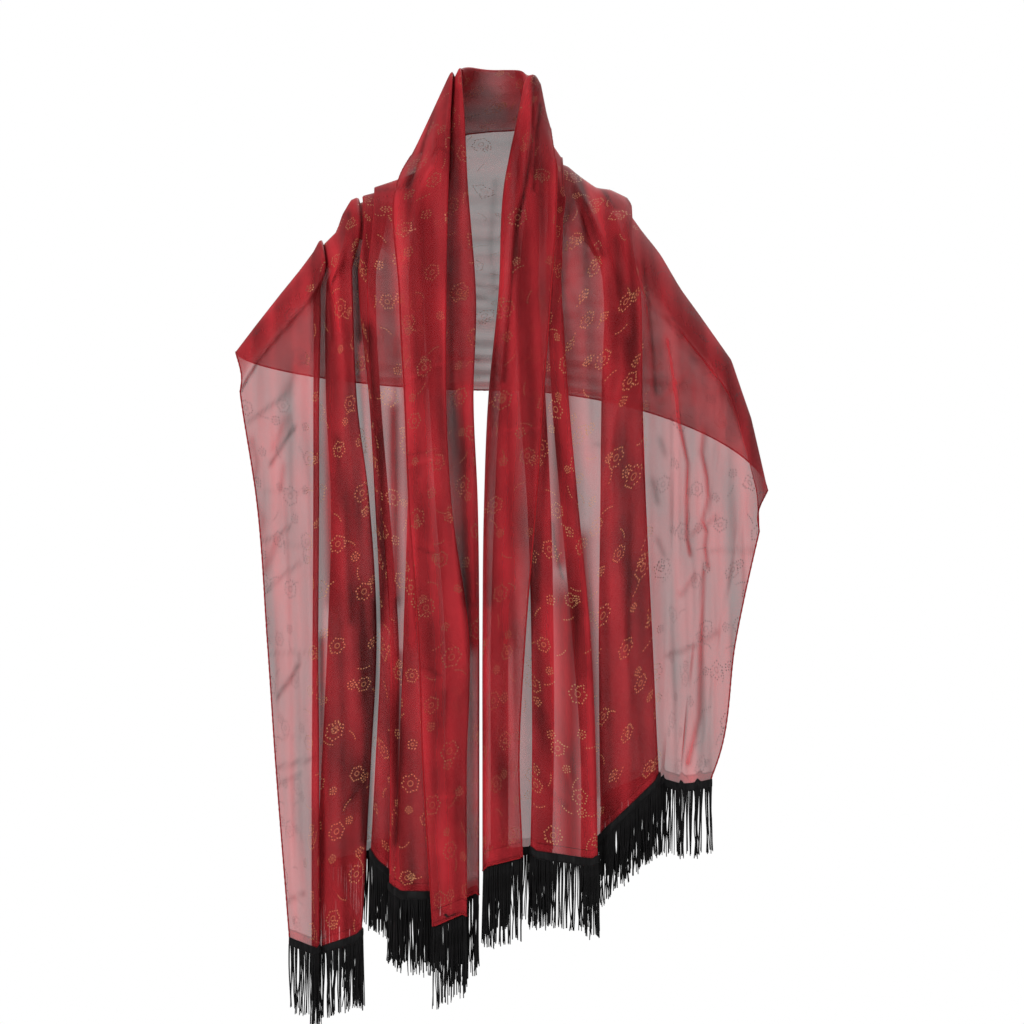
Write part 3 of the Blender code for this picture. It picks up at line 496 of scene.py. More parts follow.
class Half:
    """One half of the wrap: its folds as lines of points from the ridge to the hem."""

    def __init__(self, folds, ridge):
        self.names = [row[0] for row in folds]
        self.table = np.array([row[1:9] for row in folds], dtype=float) / 1000.0
        self.hem = np.array([row[9] for row in folds], dtype=float) / 1000.0
        self.depth = np.array([row[10] for row in folds], dtype=float) / 1000.0
        self.top_depth = self.depth.max()
        points = np.array(ridge, dtype=float) / 1000.0
        self.ridge = points[np.argsort(points[:, 0])]
        slope = np.gradient(self.ridge[:, 1], self.ridge[:, 0])
        self.ridge_angle = np.convolve(np.pad(np.arctan(slope), 1, mode="edge"), [0.25, 0.5, 0.25], "valid")

    def ridge_height(self, x):
        """Height of the ridge at x."""
        return np.interp(x, self.ridge[:, 0], self.ridge[:, 1])

    def ridge_normal(self, x):
        """Unit vector square to the ridge in the plane of the front view."""
        angle = np.interp(x, self.ridge[:, 0], self.ridge_angle)
        return np.stack([-np.sin(angle), np.zeros_like(angle), np.cos(angle)], axis=-1)

    def ridge_cover(self, x):
        """Depth of the layer that lies uppermost on the ridge."""
        return self.top_depth * (1.0 - smooth_step(STACK_INNER, STACK_OUTER, np.abs(x)))

    def fold_x(self, row, z):
        """x of a fold at the heights z."""
        top = self.ridge_height(self.table[row, 0])
        levels = np.array(LEVELS, dtype=float) / 1000.0
        used = levels < top - LEVEL_CLEARANCE
        knots = np.concatenate([[top], levels[used], [self.hem[row]]])[::-1]
        on_ridge, at_hem = self.table[row, 0], self.table[row, 7]
        values = np.concatenate([[on_ridge], self.table[row, 1:7][used], [at_hem]])[::-1]
        return smooth_curve(np.clip(z, self.hem[row], top), knots, values)

    def width(self, row):
        """The widest stretch of a layer between the folds row and row + 1."""
        return np.abs(self.table[row + 1] - self.table[row]).max()

    def turn_radius(self, row):
        """Radius of a fold in plan, 0 where the cloth goes straight on or ends."""
        if row == 0 or row == len(self.names) - 1:
            return 0.0
        gap = abs(self.depth[row] - self.depth[row - 1]) / 2
        return min(gap, TURN_LIMIT * self.width(row), TURN_LIMIT * self.width(row - 1))

    def layer_shares(self, row, step):
        """Shares of a layer's width at which its lines run: even steps, and even angles in its turns."""
        width = self.width(row)
        start = self.turn_radius(row) / width
        end = self.turn_radius(row + 1) / width
        quarter = 1.0 - np.cos(np.linspace(0.0, 0.5 * np.pi, TURN_STEPS + 1))
        first = quarter[:-1] * start if start > 0 else np.zeros(1)
        last = 1.0 - quarter[:-1][::-1] * end if end > 0 else np.ones(1)
        count = max(2, int(round((1 - start - end) * width / step)))
        middle = np.linspace(start, 1.0 - end, count + 1)
        middle = middle[slice(None if start > 0 else 1, None if end > 0 else -1)]
        return np.concatenate([first, middle, last])

    def layer_depth(self, row, share):
        """Depth in the stack: the layer's own, and in each turn a quarter ellipse to the next layer."""
        own = self.depth[row]
        before = (self.depth[row - 1] + own) / 2 if row > 0 else own
        after = (own + self.depth[row + 1]) / 2 if row + 2 < len(self.names) else own
        start = self.turn_radius(row) / self.width(row)
        end = self.turn_radius(row + 1) / self.width(row)
        depth = np.full(share.shape, own)
        if start > 0:
            near = np.clip(1.0 - share / start, 0.0, 1.0)
            depth += (before - own) * (1.0 - np.sqrt(1.0 - near ** 2))
        if end > 0:
            near = np.clip(1.0 - (1.0 - share) / end, 0.0, 1.0)
            depth += (after - own) * (1.0 - np.sqrt(1.0 - near ** 2))
        return depth

    def right_side(self, row, share):
        """1 where the right side faces the front and 0 where the wrong side does, even across each fold."""
        outward = (self.table[row + 1, 4] - self.table[row, 4]) * (1 if self.table[0, 0] < 0 else -1)
        own = 1.0 if outward > 0 else 0.0
        width = self.width(row)
        near = np.ones(share.shape)
        if row > 0:
            near = np.minimum(near, share * width / FOLD_REACH)
        if row + 2 < len(self.names):
            near = np.minimum(near, (1.0 - share) * width / FOLD_REACH)
        return 0.5 + (own - 0.5) * smooth_step(0.0, 1.0, near)

    def front(self, first, last, step, columns):
        """Points of the front fall between two folds, a row for each line and a column from hem to ridge.

        Each layer's lines run between its two folds, by share of the width. Returned with them, for each
        row, is the way across the cloth in metres and the share of its right side that faces the front.
        """
        grids, ways, sides = [], [], []
        way = float(np.sum([self.width(row) for row in range(first)]))
        for row in range(first, last):
            share = self.layer_shares(row, step)
            if row > first:
                share = share[1:]
            grids.append(self.layer(row, share, columns))
            ways.append(way + share * self.width(row))
            sides.append(self.right_side(row, share))
            way += self.width(row)
        return np.concatenate(grids), np.concatenate(ways), np.concatenate(sides)

    def layer(self, row, share, columns):
        """One layer's points: x between its folds at each height, on the figure, its depth square to it."""
        share = share[:, None]
        steps = (1.0 - np.linspace(1.0, 0.0, columns) ** FRONT_CROWDING)[None, :]
        ridge_x = self.table[row, 0] + (self.table[row + 1, 0] - self.table[row, 0]) * share
        ridge_z = self.ridge_height(ridge_x)
        hem = self.hem[row] + (self.hem[row + 1] - self.hem[row]) * share
        hem = hem - BRAID_SEAT * self.right_side(row, share)
        z = hem + (ridge_z - hem) * steps
        here = self.fold_x(row, z)
        x = here + (self.fold_x(row + 1, z) - here) * share
        x = x + (ridge_x - x[:, -1:]) * smooth_step(RIDGE_EASE, 1.0, steps)
        depth = self.layer_depth(row, share)
        billow = BILLOW * np.sin(np.pi * share) * min(1.0, self.width(row) / BILLOW_WIDTH)
        relief = crease_marks(x, z, FRONT_CREASES)[0] + flute_relief(x, z, 0.9 * row)
        fade = smooth_step(0.0, RELIEF_FADE, ridge_z - z)
        return self.front_points(x, z, ridge_z, depth, (relief + billow) * fade)

    def front_points(self, x, z, ridge_z, depth, relief):
        """The figure's front surface, with the layer's place in the stack laid off square to it."""
        drop = np.clip((ridge_z - z) / figure(x, 3), 0.0, 1.0)
        y = figure(x, 1) + (figure(x, 2) - figure(x, 1)) * np.sin(0.5 * np.pi * drop) ** ROUND_POWER
        turn = (0.5 * np.pi * (1.0 - drop) ** TURN_POWER)[..., None]
        outward = np.cos(turn) * np.array([0.0, -1.0, 0.0]) + np.sin(turn) * self.ridge_normal(x)
        packing = 1.0 + (SHOULDER_PACKING - 1.0) * (1.0 - drop)
        cover = self.ridge_cover(x) + (self.top_depth - self.ridge_cover(x)) * drop
        inset = (depth - cover) * packing + relief
        return np.stack([x, y, z], axis=-1) + outward * inset[..., None]

    def back_surface(self, x, z):
        """y of the figure's back, and the direction in which layers stack up on it."""
        drop = np.clip((self.ridge_height(x) - z) / figure(x, 5), 0.0, 1.0)
        slope = (figure(x, 4) - figure(x, 1)) * np.sin(0.5 * np.pi * drop) ** ROUND_POWER
        bulge = nape_bulge(x, z)
        y = figure(x, 1) + (slope ** BLEND_POWER + bulge ** BLEND_POWER) ** (1.0 / BLEND_POWER)
        turn = np.maximum(drop, bulge / NAPE_DEPTH)
        angle = (0.5 * np.pi * (1.0 - turn) ** TURN_POWER)[..., None]
        return y, np.cos(angle) * np.array([0.0, 1.0, 0.0]) + np.sin(angle) * self.ridge_normal(x)

    def ridge_line(self, first, last, step):
        """x, height, depth and share of the cloth's width along the folded ridge."""
        x, depth = [], []
        for row in range(first, last):
            share = self.layer_shares(row, step)
            if row > first:
                share = share[1:]
            x.append(self.table[row, 0] + (self.table[row + 1, 0] - self.table[row, 0]) * share)
            depth.append(self.layer_depth(row, share))
        x, depth = np.concatenate(x), np.concatenate(depth)
        z = self.ridge_height(x)
        run = run_along(np.stack([x, z, depth], axis=-1))
        return x, z, depth, run / run[-1]

    def open_ridge(self, first, last, shares):
        """The ridge between two folds without overlaps: even steps along its line."""
        x = np.linspace(self.table[first, 0], self.table[last, 0], 200)
        z = self.ridge_height(x)
        run = np.concatenate([[0.0], np.cumsum(np.hypot(np.diff(x), np.diff(z)))])
        even_x = np.interp(shares, run / run[-1], x)
        return even_x, self.ridge_height(even_x)


def across_back(halves, rows, count, columns, middle_height, middle_stand, sag):
    """Points across the back, a row for each share of the cloth and a column for each step, left to right.

    Near each ridge the folds of that half open out until the cloth lies single, and the lines sag
    from the ridges to the middle: x runs straight, the height by a power of a quarter sine. The step
    that the two halves leave in the middle is shared out between them.
    """
    lines = [half.ridge_line(first, last, BACK_STEP) for half, (first, last) in zip(halves, rows)]
    shares = np.unique(np.concatenate([np.linspace(0.0, 1.0, count), lines[0][3], lines[1][3]]))
    shares = shares[np.concatenate([[True], np.diff(shares) > CLOSEST_SHARES])]
    shares[-1] = 1.0
    steps = np.linspace(0.0, 1.0, columns)
    steps = 0.5 - 0.5 * np.sign(0.5 - steps) * np.abs(1 - 2 * steps) ** BACK_CROWDING
    sides = []
    for half, (first, last), line, own in zip(halves, rows, lines, (steps <= 0.5, steps > 0.5)):
        near = np.minimum(steps[own], 1.0 - steps[own])[None, :]
        fold_x, fold_z, fold_depth = (np.interp(shares, line[3], part)[:, None] for part in line[:3])
        even_x, even_z = (part[:, None] for part in half.open_ridge(first, last, shares))
        folded = 1.0 - smooth_step(0.0, OPENING_SHARE, near)
        x = (even_x + (fold_x - even_x) * folded) * (1.0 - 2.0 * near)
        side_z = even_z + (fold_z - even_z) * folded
        middle = middle_height(shares)[:, None]
        z = side_z + (middle - side_z) * np.sin(np.pi * near) ** sag(shares)[:, None]
        y, outward = half.back_surface(x, z)
        inset = (fold_depth - half.ridge_cover(fold_x)) * SHOULDER_PACKING * folded
        inset = inset + middle_stand(shares)[:, None] * (1.0 - folded)
        relief = crease_marks(x, z, BACK_CREASES)[0] + BACK_WAVES * flute_relief(z, x, 2.0)
        inset = inset + relief * smooth_step(0.0, 0.10, near)
        sides.append(np.stack([x, y, z], axis=-1) + outward * inset[..., None])
    left, right = sides
    jump = 0.5 * (right[:, :1, 1:] - left[:, -1:, 1:])
    left[..., 1:] += jump * smooth_step(0.30, 0.50, steps[steps <= 0.5])[None, :, None]
    right[..., 1:] -= jump * smooth_step(0.30, 0.50, 1.0 - steps[steps > 0.5])[None, :, None]
    return np.concatenate(sides, axis=1), shares


def fold_stand(distance):
    """How far the cloth at the nape stands off on its way into the collar's fold: a quarter circle."""
    share = np.clip(1.0 - distance / (0.5 * COLLAR_STAND), 0.0, 1.0)
    return 0.5 * COLLAR_STAND * (1.0 - np.sqrt(1.0 - share ** 2))


def run_along(line):
    """Distance along a line of points."""
    return np.concatenate([[0.0], np.cumsum(np.linalg.norm(np.diff(line, axis=0), axis=1))])


def points_at(line, run, at):
    """Points of a line at the distances at."""
    return np.stack([np.interp(at, run, line[:, axis]) for axis in range(3)], axis=-1)


def grid_normals(grid):
    """Unit normals of a grid's surface: the cross product of its two directions."""
    normal = np.cross(np.gradient(grid, axis=0), np.gradient(grid, axis=1))
    return normal / np.maximum(np.linalg.norm(normal, axis=-1, keepdims=True), 1e-12)


def grid_faces(rows, columns, closed=False):
    """Four corners for each cell of a grid, closed round its columns where asked."""
    index = np.arange(rows * columns).reshape(rows, columns)
    if closed:
        index = np.concatenate([index, index[:, :1]], axis=1)
    quads = np.stack([index[:-1, :-1], index[1:, :-1], index[1:, 1:], index[:-1, 1:]], axis=-1)
    return quads.reshape(-1, 4)


def new_mesh(name, vertices, faces, uv=None, values=None):
    """A smooth mesh object from arrays, with a UV pair and named values for each vertex."""
    mesh = bpy.data.meshes.new(name)
    mesh.vertices.add(len(vertices))
    mesh.vertices.foreach_set("co", np.ascontiguousarray(vertices, dtype=np.float32).ravel())
    faces = np.asarray(faces, dtype=np.int32)
    mesh.loops.add(faces.size)
    mesh.loops.foreach_set("vertex_index", faces.ravel())
    mesh.polygons.add(len(faces))
    mesh.polygons.foreach_set("loop_start", np.arange(0, faces.size, faces.shape[1], dtype=np.int32))
    mesh.update(calc_edges=True)
    mesh.shade_smooth()
    if uv is not None:
        layer = mesh.uv_layers.new(name="Cloth")
        layer.data.foreach_set("uv", np.asarray(uv, dtype=np.float32)[faces.ravel()].ravel())
    for key, value in (values or {}).items():
        attribute = mesh.attributes.new(key, "FLOAT", "POINT")
        attribute.data.foreach_set("value", np.asarray(value, dtype=np.float32).ravel())
    obj = bpy.data.objects.new(name, mesh)
    bpy.context.scene.collection.objects.link(obj)
    return obj


def tube_mesh(path, radius, sides):
    """Vertices and faces of a closed tube: rings square to the path, with end caps.

    The path and the radius may hold many tubes side by side, as an array of shape (tubes, points, 3).
    """
    path = path[None] if path.ndim == 2 else path
    tubes, count = path.shape[:2]
    radius = np.broadcast_to(radius, (tubes, count))
    ahead = np.gradient(path, axis=1)
    ahead /= np.maximum(np.linalg.norm(ahead, axis=-1, keepdims=True), 1e-12)
    aside = np.cross(ahead, np.array([0.0, 1.0, 0.02]))
    aside /= np.maximum(np.linalg.norm(aside, axis=-1, keepdims=True), 1e-12)
    over = np.cross(aside, ahead)
    angle = np.arange(sides) * 2 * np.pi / sides
    ring = np.cos(angle)[:, None] * aside[:, :, None, :] + np.sin(angle)[:, None] * over[:, :, None, :]
    vertices = path[:, :, None, :] + radius[:, :, None, None] * ring
    index = np.arange(tubes * count * sides).reshape(tubes, count, sides)
    around = np.concatenate([index, index[:, :, :1]], axis=2)
    here, ahead_ring = around[:, :-1], around[:, 1:]
    corners = [here[..., :-1], here[..., 1:], ahead_ring[..., 1:], ahead_ring[..., :-1]]
    quads = np.stack(corners, axis=-1).reshape(-1, 4)
    half = sides // 2
    caps = []
    for end, turn in ((0, -1), (-1, 1)):
        for corner in range(half - 1):
            cap = np.stack([index[:, end, corner], index[:, end, corner + 1],
                            index[:, end, sides - 2 - corner], index[:, end, sides - 1 - corner]], axis=-1)
            caps.append(cap[:, ::turn])
    return vertices.reshape(-1, 3), np.concatenate([quads] + caps)


class Value:
    """A node's output in shader maths: an expression on it adds Math nodes."""

    def __init__(self, paint, socket):
        self.paint = paint
        self.socket = socket

    def maths(self, operation, *others):
        """A Math node on this value and up to two others."""
        settings = {"operation": operation}
        return self.paint.node("ShaderNodeMath", settings, dict(enumerate((self,) + others)))

    def __add__(self, other):
        return self.maths("ADD", other)

    def __sub__(self, other):
        return self.maths("SUBTRACT", other)

    def __rsub__(self, other):
        return self.paint.node("ShaderNodeMath", {"operation": "SUBTRACT"}, {0: other, 1: self})

    def __mul__(self, other):
        return self.maths("MULTIPLY", other)

    def __truediv__(self, other):
        return self.maths("DIVIDE", other)

    def __lt__(self, other):
        return self.maths("LESS_THAN", other)

    def __gt__(self, other):
        return self.maths("GREATER_THAN", other)

    __radd__ = __add__
    __rmul__ = __mul__

    def within(self, low, high):
        """0 at low and 1 at high, held outside them."""
        inputs = {"Value": self, "From Min": low, "From Max": high}
        return self.paint.node("ShaderNodeMapRange", {"clamp": True}, inputs)


class Paint:
    """A material under construction."""

    def __init__(self, name):
        self.material = bpy.data.materials.new(name)
        self.material.use_nodes = True
        self.tree = self.material.node_tree
        self.surface = self.tree.nodes["Principled BSDF"]

    def node(self, kind, settings, inputs, output=0):
        """Adds a node: its settings first, then values or links on its sockets. Returns one output."""
        node = self.tree.nodes.new(kind)
        for key, value in settings.items():
            setattr(node, key, value)
        for key, value in inputs.items():
            self.put(node.inputs[key], value)
        return Value(self, node.outputs[output])

    def put(self, socket, value):
        """Links a value to a socket, or sets the socket to a constant."""
        if isinstance(value, Value):
            self.tree.links.new(value.socket, socket)
        else:
            socket.default_value = value

    def split(self, vector):
        """The three parts of a vector."""
        node = self.tree.nodes.new("ShaderNodeSeparateXYZ")
        self.put(node.inputs[0], vector)
        return [Value(self, output) for output in node.outputs]

    def join(self, x, y, z):
        """A vector from three parts."""
        return self.node("ShaderNodeCombineXYZ", {}, {0: x, 1: y, 2: z})

    def mix(self, share, first, second):
        """A colour between two colours."""
        return self.node("ShaderNodeMix", {"data_type": "RGBA"}, {0: share, 6: first, 7: second}, 2)

    def noise(self, vector, scale, detail=2.0, roughness=0.5):
        """Soft random values round 0.5."""
        inputs = {"Vector": vector, "Scale": scale, "Detail": detail, "Roughness": roughness}
        return self.node("ShaderNodeTexNoise", {}, inputs)

    def uv(self):
        """The way across and along the cloth, in metres."""
        return self.node("ShaderNodeUVMap", {"uv_map": "Cloth"}, {})

    def attribute(self, name):
        """A named value of the mesh's points."""
        return self.node("ShaderNodeAttribute", {"attribute_name": name}, {}, "Fac")

    def bump(self, height, distance, strength=1.0):
        """A normal that follows a height."""
        return self.node("ShaderNodeBump", {}, {"Height": height, "Distance": distance, "Strength": strength})

    def finish(self, **sockets):
        """Sets or links sockets of the surface, by their names with underscores for spaces."""
        for key, value in sockets.items():
            self.put(self.surface.inputs[key.replace("_", " ")], value)
        return self.material


def dotted_flower(paint, across, along, cell, radius, petals, dots, seed, least):
    """Mask of dotted flowers, one in each cell of a shifted grid.

    In polar coordinates round the cell's own centre, a flower's outline is its radius times one less a
    cusp between the petals, and a sine of the angle breaks it into dots. Cells below least stay bare.
    """
    row = (along / cell).maths("FLOOR")
    shifted = across / cell + row * 0.5
    column = shifted.maths("FLOOR")
    chance = paint.node("ShaderNodeTexWhiteNoise", {"noise_dimensions": "3D"},
                        {"Vector": paint.join(column, row, seed)}, "Color")
    first, second, third = paint.split(chance)
    x = (shifted - column - 0.5 - (first - 0.5) * 0.34) * cell
    y = (along / cell - row - 0.5 - (second - 0.5) * 0.34) * cell
    size = (third * 0.35 + 0.8) * radius
    distance = (x * x + y * y).maths("SQRT")
    angle = y.maths("ARCTAN2", x) + third * 6.28
    petal = (angle * (petals / 2)).maths("COSINE").maths("ABSOLUTE")
    outline = (distance - size * (petal * 0.24 + 0.76)).maths("ABSOLUTE")
    heart = (distance - size * 0.30).maths("ABSOLUTE")
    dotted = (angle * dots).maths("SINE").within(0.0, 0.6)
    line = outline.within(0.0010, 0.0005).maths("MAXIMUM", heart.within(0.0008, 0.0004))
    return line * dotted * (first > least)


def sprig(paint, across, along, cell, length, seed, least):
    """Mask of short dotted stems: a slightly bent stroke in each cell that isn't bare."""
    row = (along / cell).maths("FLOOR")
    shifted = across / cell + row * 0.37
    column = shifted.maths("FLOOR")
    chance = paint.node("ShaderNodeTexWhiteNoise", {"noise_dimensions": "3D"},
                        {"Vector": paint.join(column, row, seed)}, "Color")
    first, second, third = paint.split(chance)
    x = (shifted - column - 0.5 - (first - 0.5) * 0.3) * cell
    y = (along / cell - row - 0.5 - (second - 0.5) * 0.3) * cell
    turn = third * 6.28
    cosine, sine = turn.maths("COSINE"), turn.maths("SINE")
    forth = x * cosine + y * sine
    aside = y * cosine - x * sine - forth * forth * 28.0
    stroke = aside.maths("ABSOLUTE").within(0.0009, 0.0004) * (forth.maths("ABSOLUTE") < length)
    return stroke * (forth * 1900.0).maths("SINE").within(0.0, 0.6) * (second > least)


def chiffon(cloth):
    """Sheer crepe: threads over clear gaps, dotted flowers in metal thread, and a turned, stitched end.

    The cloth's tone runs from a quarter of its colour to nearly twice it, by the painted shade and painted
    highlight of its creases and long waves, with random tone from two noises.
    """
    paint = Paint("crimson_chiffon")
    across, along, _ = paint.split(paint.uv())
    crepe = paint.noise(paint.join(across * 1100.0, along * 90.0, 0.0), 1.0, 1.0, 0.5)
    cloud = paint.noise(paint.join(across * 40.0, along * 16.0, 0.0), 1.0, 1.0, 0.5)
    gold = sprig(paint, across + SPRIG_SHIFT, along, SPRIG_CELL, SPRIG_LENGTH, 5.0, 0.35)
    for *flower, (aside, upward) in FLOWERS:
        gold = gold.maths("MAXIMUM", dotted_flower(paint, across + aside, along + upward, *flower))
    hem = along.within(END_HEM + 0.0004, END_HEM - 0.0004)
    seam = (along - 0.0035).maths("ABSOLUTE").maths("MINIMUM", (along - END_HEM + 0.0015).maths("ABSOLUTE"))
    stitch = seam.within(0.0007, 0.0003)
    # Painted shade and painted highlight from the shade attribute, plus random tone from the cloud and crepe
    # noises
    tone = paint.attribute("shade") * 0.5 + (cloud - 0.5) * 0.45 + (crepe - 0.5) * 0.30 + 0.5
    tone = tone - stitch * 0.35
    # The darkest painted shade colour, and the light colour of the painted highlight
    painted_shade_colour = [0.25 * part for part in cloth.colour[:3]] + [1.0]
    light = [1.55 * cloth.colour[0]] + [2.2 * part for part in cloth.colour[1:3]] + [1.0]
    # Gold where the metal thread shows; dull on the wrong side, and as painted shade on single cloth against
    # the light
    metal = paint.mix(paint.attribute("glint"), DULL_THREAD, list(cloth.gold))
    cover = paint.attribute("cover") + (crepe - 0.5) * 0.05 + (cloud - 0.5) * 0.06
    cover = cover.maths("MAXIMUM", hem * 0.62).maths("MAXIMUM", gold * 0.85)
    return paint.finish(
        Base_Color=paint.mix(gold, paint.mix(tone.within(0.0, 1.0), painted_shade_colour, light), metal),
        Metallic=gold * 0.3,
        Roughness=0.60 - gold * 0.2,
        Alpha=cover.within(0.0, 1.0),
        Sheen_Weight=0.04,
        Sheen_Roughness=0.4,
        Sheen_Tint=(1.0, 0.30, 0.32, 1.0),
        Specular_IOR_Level=0.10,
        Normal=paint.bump(crepe, 0.0002, 0.15),
    )


def hem_cloth(cloth):
    """The same cloth rolled over itself, so that nothing shows through."""
    paint = Paint("crimson_hem")
    place = paint.node("ShaderNodeTexCoord", {}, {}, "Object")
    grain = paint.noise(place, 900.0, 1.0)
    dark = [0.45 * part for part in cloth.colour[:3]] + [1.0]
    colour = paint.mix(grain, dark, list(cloth.colour))
    return paint.finish(Base_Color=colour, Roughness=0.65, Sheen_Weight=0.04, Sheen_Roughness=0.4,
                        Sheen_Tint=(1.0, 0.30, 0.32, 1.0), Specular_IOR_Level=0.12, Alpha=0.94,
                        Normal=paint.bump(grain, 0.0004, 0.6))


def trim_yarn(trim, name, ribs):
    """Black rayon: a fine diagonal twist across the strand or braid, with a soft gloss."""
    paint = Paint(name)
    across, along, _ = paint.split(paint.uv())
    twist = ((across * 1.0 + along) * ribs).maths("SINE")
    wear = paint.noise(paint.join(across * 400.0, along * 60.0, 0.0), 1.0, 2.0)
    pale = [min(1.0, 3.0 * part + 0.002) for part in trim.colour[:3]] + [1.0]
    colour = paint.mix(wear.within(0.45, 0.9), list(trim.colour), pale)
    return paint.finish(Base_Color=colour, Roughness=0.5, Sheen_Weight=0.02, Sheen_Roughness=0.5,
                        Specular_IOR_Level=0.08, Normal=paint.bump(twist, 0.0003, 0.6))


def declare(piece, material, nodes=()):
    """Gives a piece its material and body, and hides the solids that it replaces."""
    piece.data.materials.append(material)
    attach(piece, "root")
    if nodes:
        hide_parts(*nodes)


def add_cloth(name, grid, across, along, material, cover, creases, glint):
    """A stretch of cloth: the grid's surface with a thin wall, denser where it turns edge-on or is creased.

    glint is the share in which its metal thread shines; elsewhere the thread shows dark, on the wrong side
    and as painted shade on single cloth against the light.
    """
    normals = grid_normals(grid)
    steep = 1.0 / np.clip(np.abs(normals[..., 1]), MOST_EDGE_ON, 1.0)
    # Painted shade and painted highlight along the creases, and their added cover
    _, shade, added = crease_marks(grid[..., 0], grid[..., 2], creases)
    open_share = (1.0 - cover) * (1.0 - added)
    side_cover = 1.0 - open_share ** (0.5 * steep)
    waves = (grid[..., 2], grid[..., 0]) if creases is BACK_CREASES else (grid[..., 0], grid[..., 2])
    # Painted highlight on the ridges of the long waves and painted shade in their troughs
    shade = shade + WAVE_SHADE * 1000.0 * flute_relief(*waves, 2.0)
    uv = np.stack([across, along], axis=-1).reshape(-1, 2)
    values = {"cover": side_cover, "shade": shade, "glint": glint}
    obj = new_mesh(f"{name}_cloth", grid.reshape(-1, 3), grid_faces(*grid.shape[:2]), uv, values)
    wall = obj.modifiers.new("Wall", "SOLIDIFY")
    wall.thickness = CLOTH_WALL
    wall.offset = 0.0
    wall.use_rim = True
    declare(obj, material, (name,))
    return obj


def add_edge_hem(name, line, material):
    """A narrow rolled hem along a free edge or an end: a thin tube with a slight wobble."""
    run = run_along(line)
    at = np.arange(0.0, run[-1], HEM_STEP)
    path = points_at(line, run, at)
    radius = HEM_RADIUS + 0.00012 * np.sin(at * 2 * np.pi / 0.009) + 0.00008 * np.sin(at * 2 * np.pi / 0.0041)
    vertices, faces = tube_mesh(path, radius[None], 6)
    obj = new_mesh(f"{name}_hem", vertices, faces)
    declare(obj, material)
    return obj


def end_frame(line):
    """Unit vectors square to a hem line in plan, at its points."""
    ahead = np.gradient(line, axis=0)[:, :2]
    ahead /= np.maximum(np.linalg.norm(ahead, axis=1, keepdims=True), 1e-12)
    return np.stack([ahead[:, 1], -ahead[:, 0], np.zeros(len(line))], axis=-1)


def add_braid(name, line, outside, material):
    """Flat braid on the cloth's end: a rounded section carried along the hem, with shallow ribs."""
    run = run_along(line)
    at = np.arange(0.0, run[-1], BRAID_STEP)
    path = points_at(line, run, at)
    aside = end_frame(path) * outside
    angle = np.arange(BRAID_SIDES) * 2 * np.pi / BRAID_SIDES
    low = 0.5 * BRAID_HEIGHT * np.sign(np.sin(angle)) * np.abs(np.sin(angle)) ** 0.6
    thick = BRAID_HALF_WALL * np.sign(np.cos(angle)) * np.abs(np.cos(angle)) ** 0.6
    ribs = 1.0 + 0.18 * np.sin(at * 2 * np.pi / BRAID_RIBS)[:, None]
    centre = path + BRAID_STAND * aside + np.array([0.0, 0.0, 0.5 * BRAID_HEIGHT - BRAID_DROP])
    grid = centre[:, None, :] + (thick[None, :] * ribs)[..., None] * aside[:, None, :]
    grid = grid + low[None, :, None] * np.array([0.0, 0.0, 1.0])
    faces = grid_faces(len(at), BRAID_SIDES, closed=True)
    last = (len(at) - 1) * BRAID_SIDES
    caps = [np.array([k, k + 1, BRAID_SIDES - 2 - k, BRAID_SIDES - 1 - k])
            for k in range(BRAID_SIDES // 2 - 1)]
    far = [(cap + last)[::-1] for cap in caps]
    faces = np.concatenate([faces, caps, far])
    if outside < 0:
        faces = faces[:, ::-1]
    uv = np.stack([np.repeat(at, BRAID_SIDES), np.tile(low, len(at))], axis=-1)
    obj = new_mesh(f"{name}_braid", grid.reshape(-1, 3), faces, uv)
    declare(obj, material, (f"{name}_fringe",))
    return obj


def add_strands(name, line, outside, longer, trim, material, rng):
    """Fringe: thin twisted strands from the braid's lower edge, each with its own sway and length.

    Along a strand, its sideways way is a random slope times the share of the length, and a sine.
    """
    run = run_along(line)
    count = int(run[-1] / trim.pitch)
    at = (np.arange(count) + 0.5 + rng.uniform(-0.45, 0.45, count)) * run[-1] / count
    root = points_at(line, run, at)
    aside = points_at(end_frame(line), run, at) * outside
    ahead = np.stack([-aside[:, 1], aside[:, 0], aside[:, 2]], axis=-1)
    share = np.linspace(0.0, 1.0, STRAND_POINTS)
    length = (trim.length + np.interp(at, run, longer)) * rng.uniform(0.93, 1.03, count)
    cluster = 0.0016 * np.sin(at * 2 * np.pi / 0.021) + 0.0011 * np.sin(at * 2 * np.pi / 0.0083 + 1.7)
    slope = (rng.normal(0.0, 0.0022, count) + cluster)[:, None] * share ** 1.4
    wave = rng.normal(0.0, 0.0006, count)[:, None] * np.sin(share * rng.uniform(3, 9, count)[:, None])
    depth = 0.0012 + rng.normal(0.0, 0.0016, count)[:, None] * share
    path = root[:, None, :] + (slope + wave)[..., None] * ahead[:, None, :]
    path = path + depth[..., None] * aside[:, None, :]
    path = path + (STRAND_TUCK - length[:, None] * share)[..., None] * np.array([0.0, 0.0, 1.0])
    radius = STRAND_RADIUS * (1.0 - 0.35 * share)[None, :] * rng.uniform(0.80, 1.20, count)[:, None]
    vertices, faces = tube_mesh(path, radius, STRAND_SIDES)
    round_way = np.tile(np.arange(STRAND_SIDES) * BRAID_STEP, count * STRAND_POINTS)
    uv = np.stack([round_way, np.repeat((length[:, None] * share).ravel(), STRAND_SIDES)], axis=-1)
    obj = new_mesh(f"{name}_strands", vertices, faces, uv)
    declare(obj, material, (f"{name}_fringe",))
    return obj


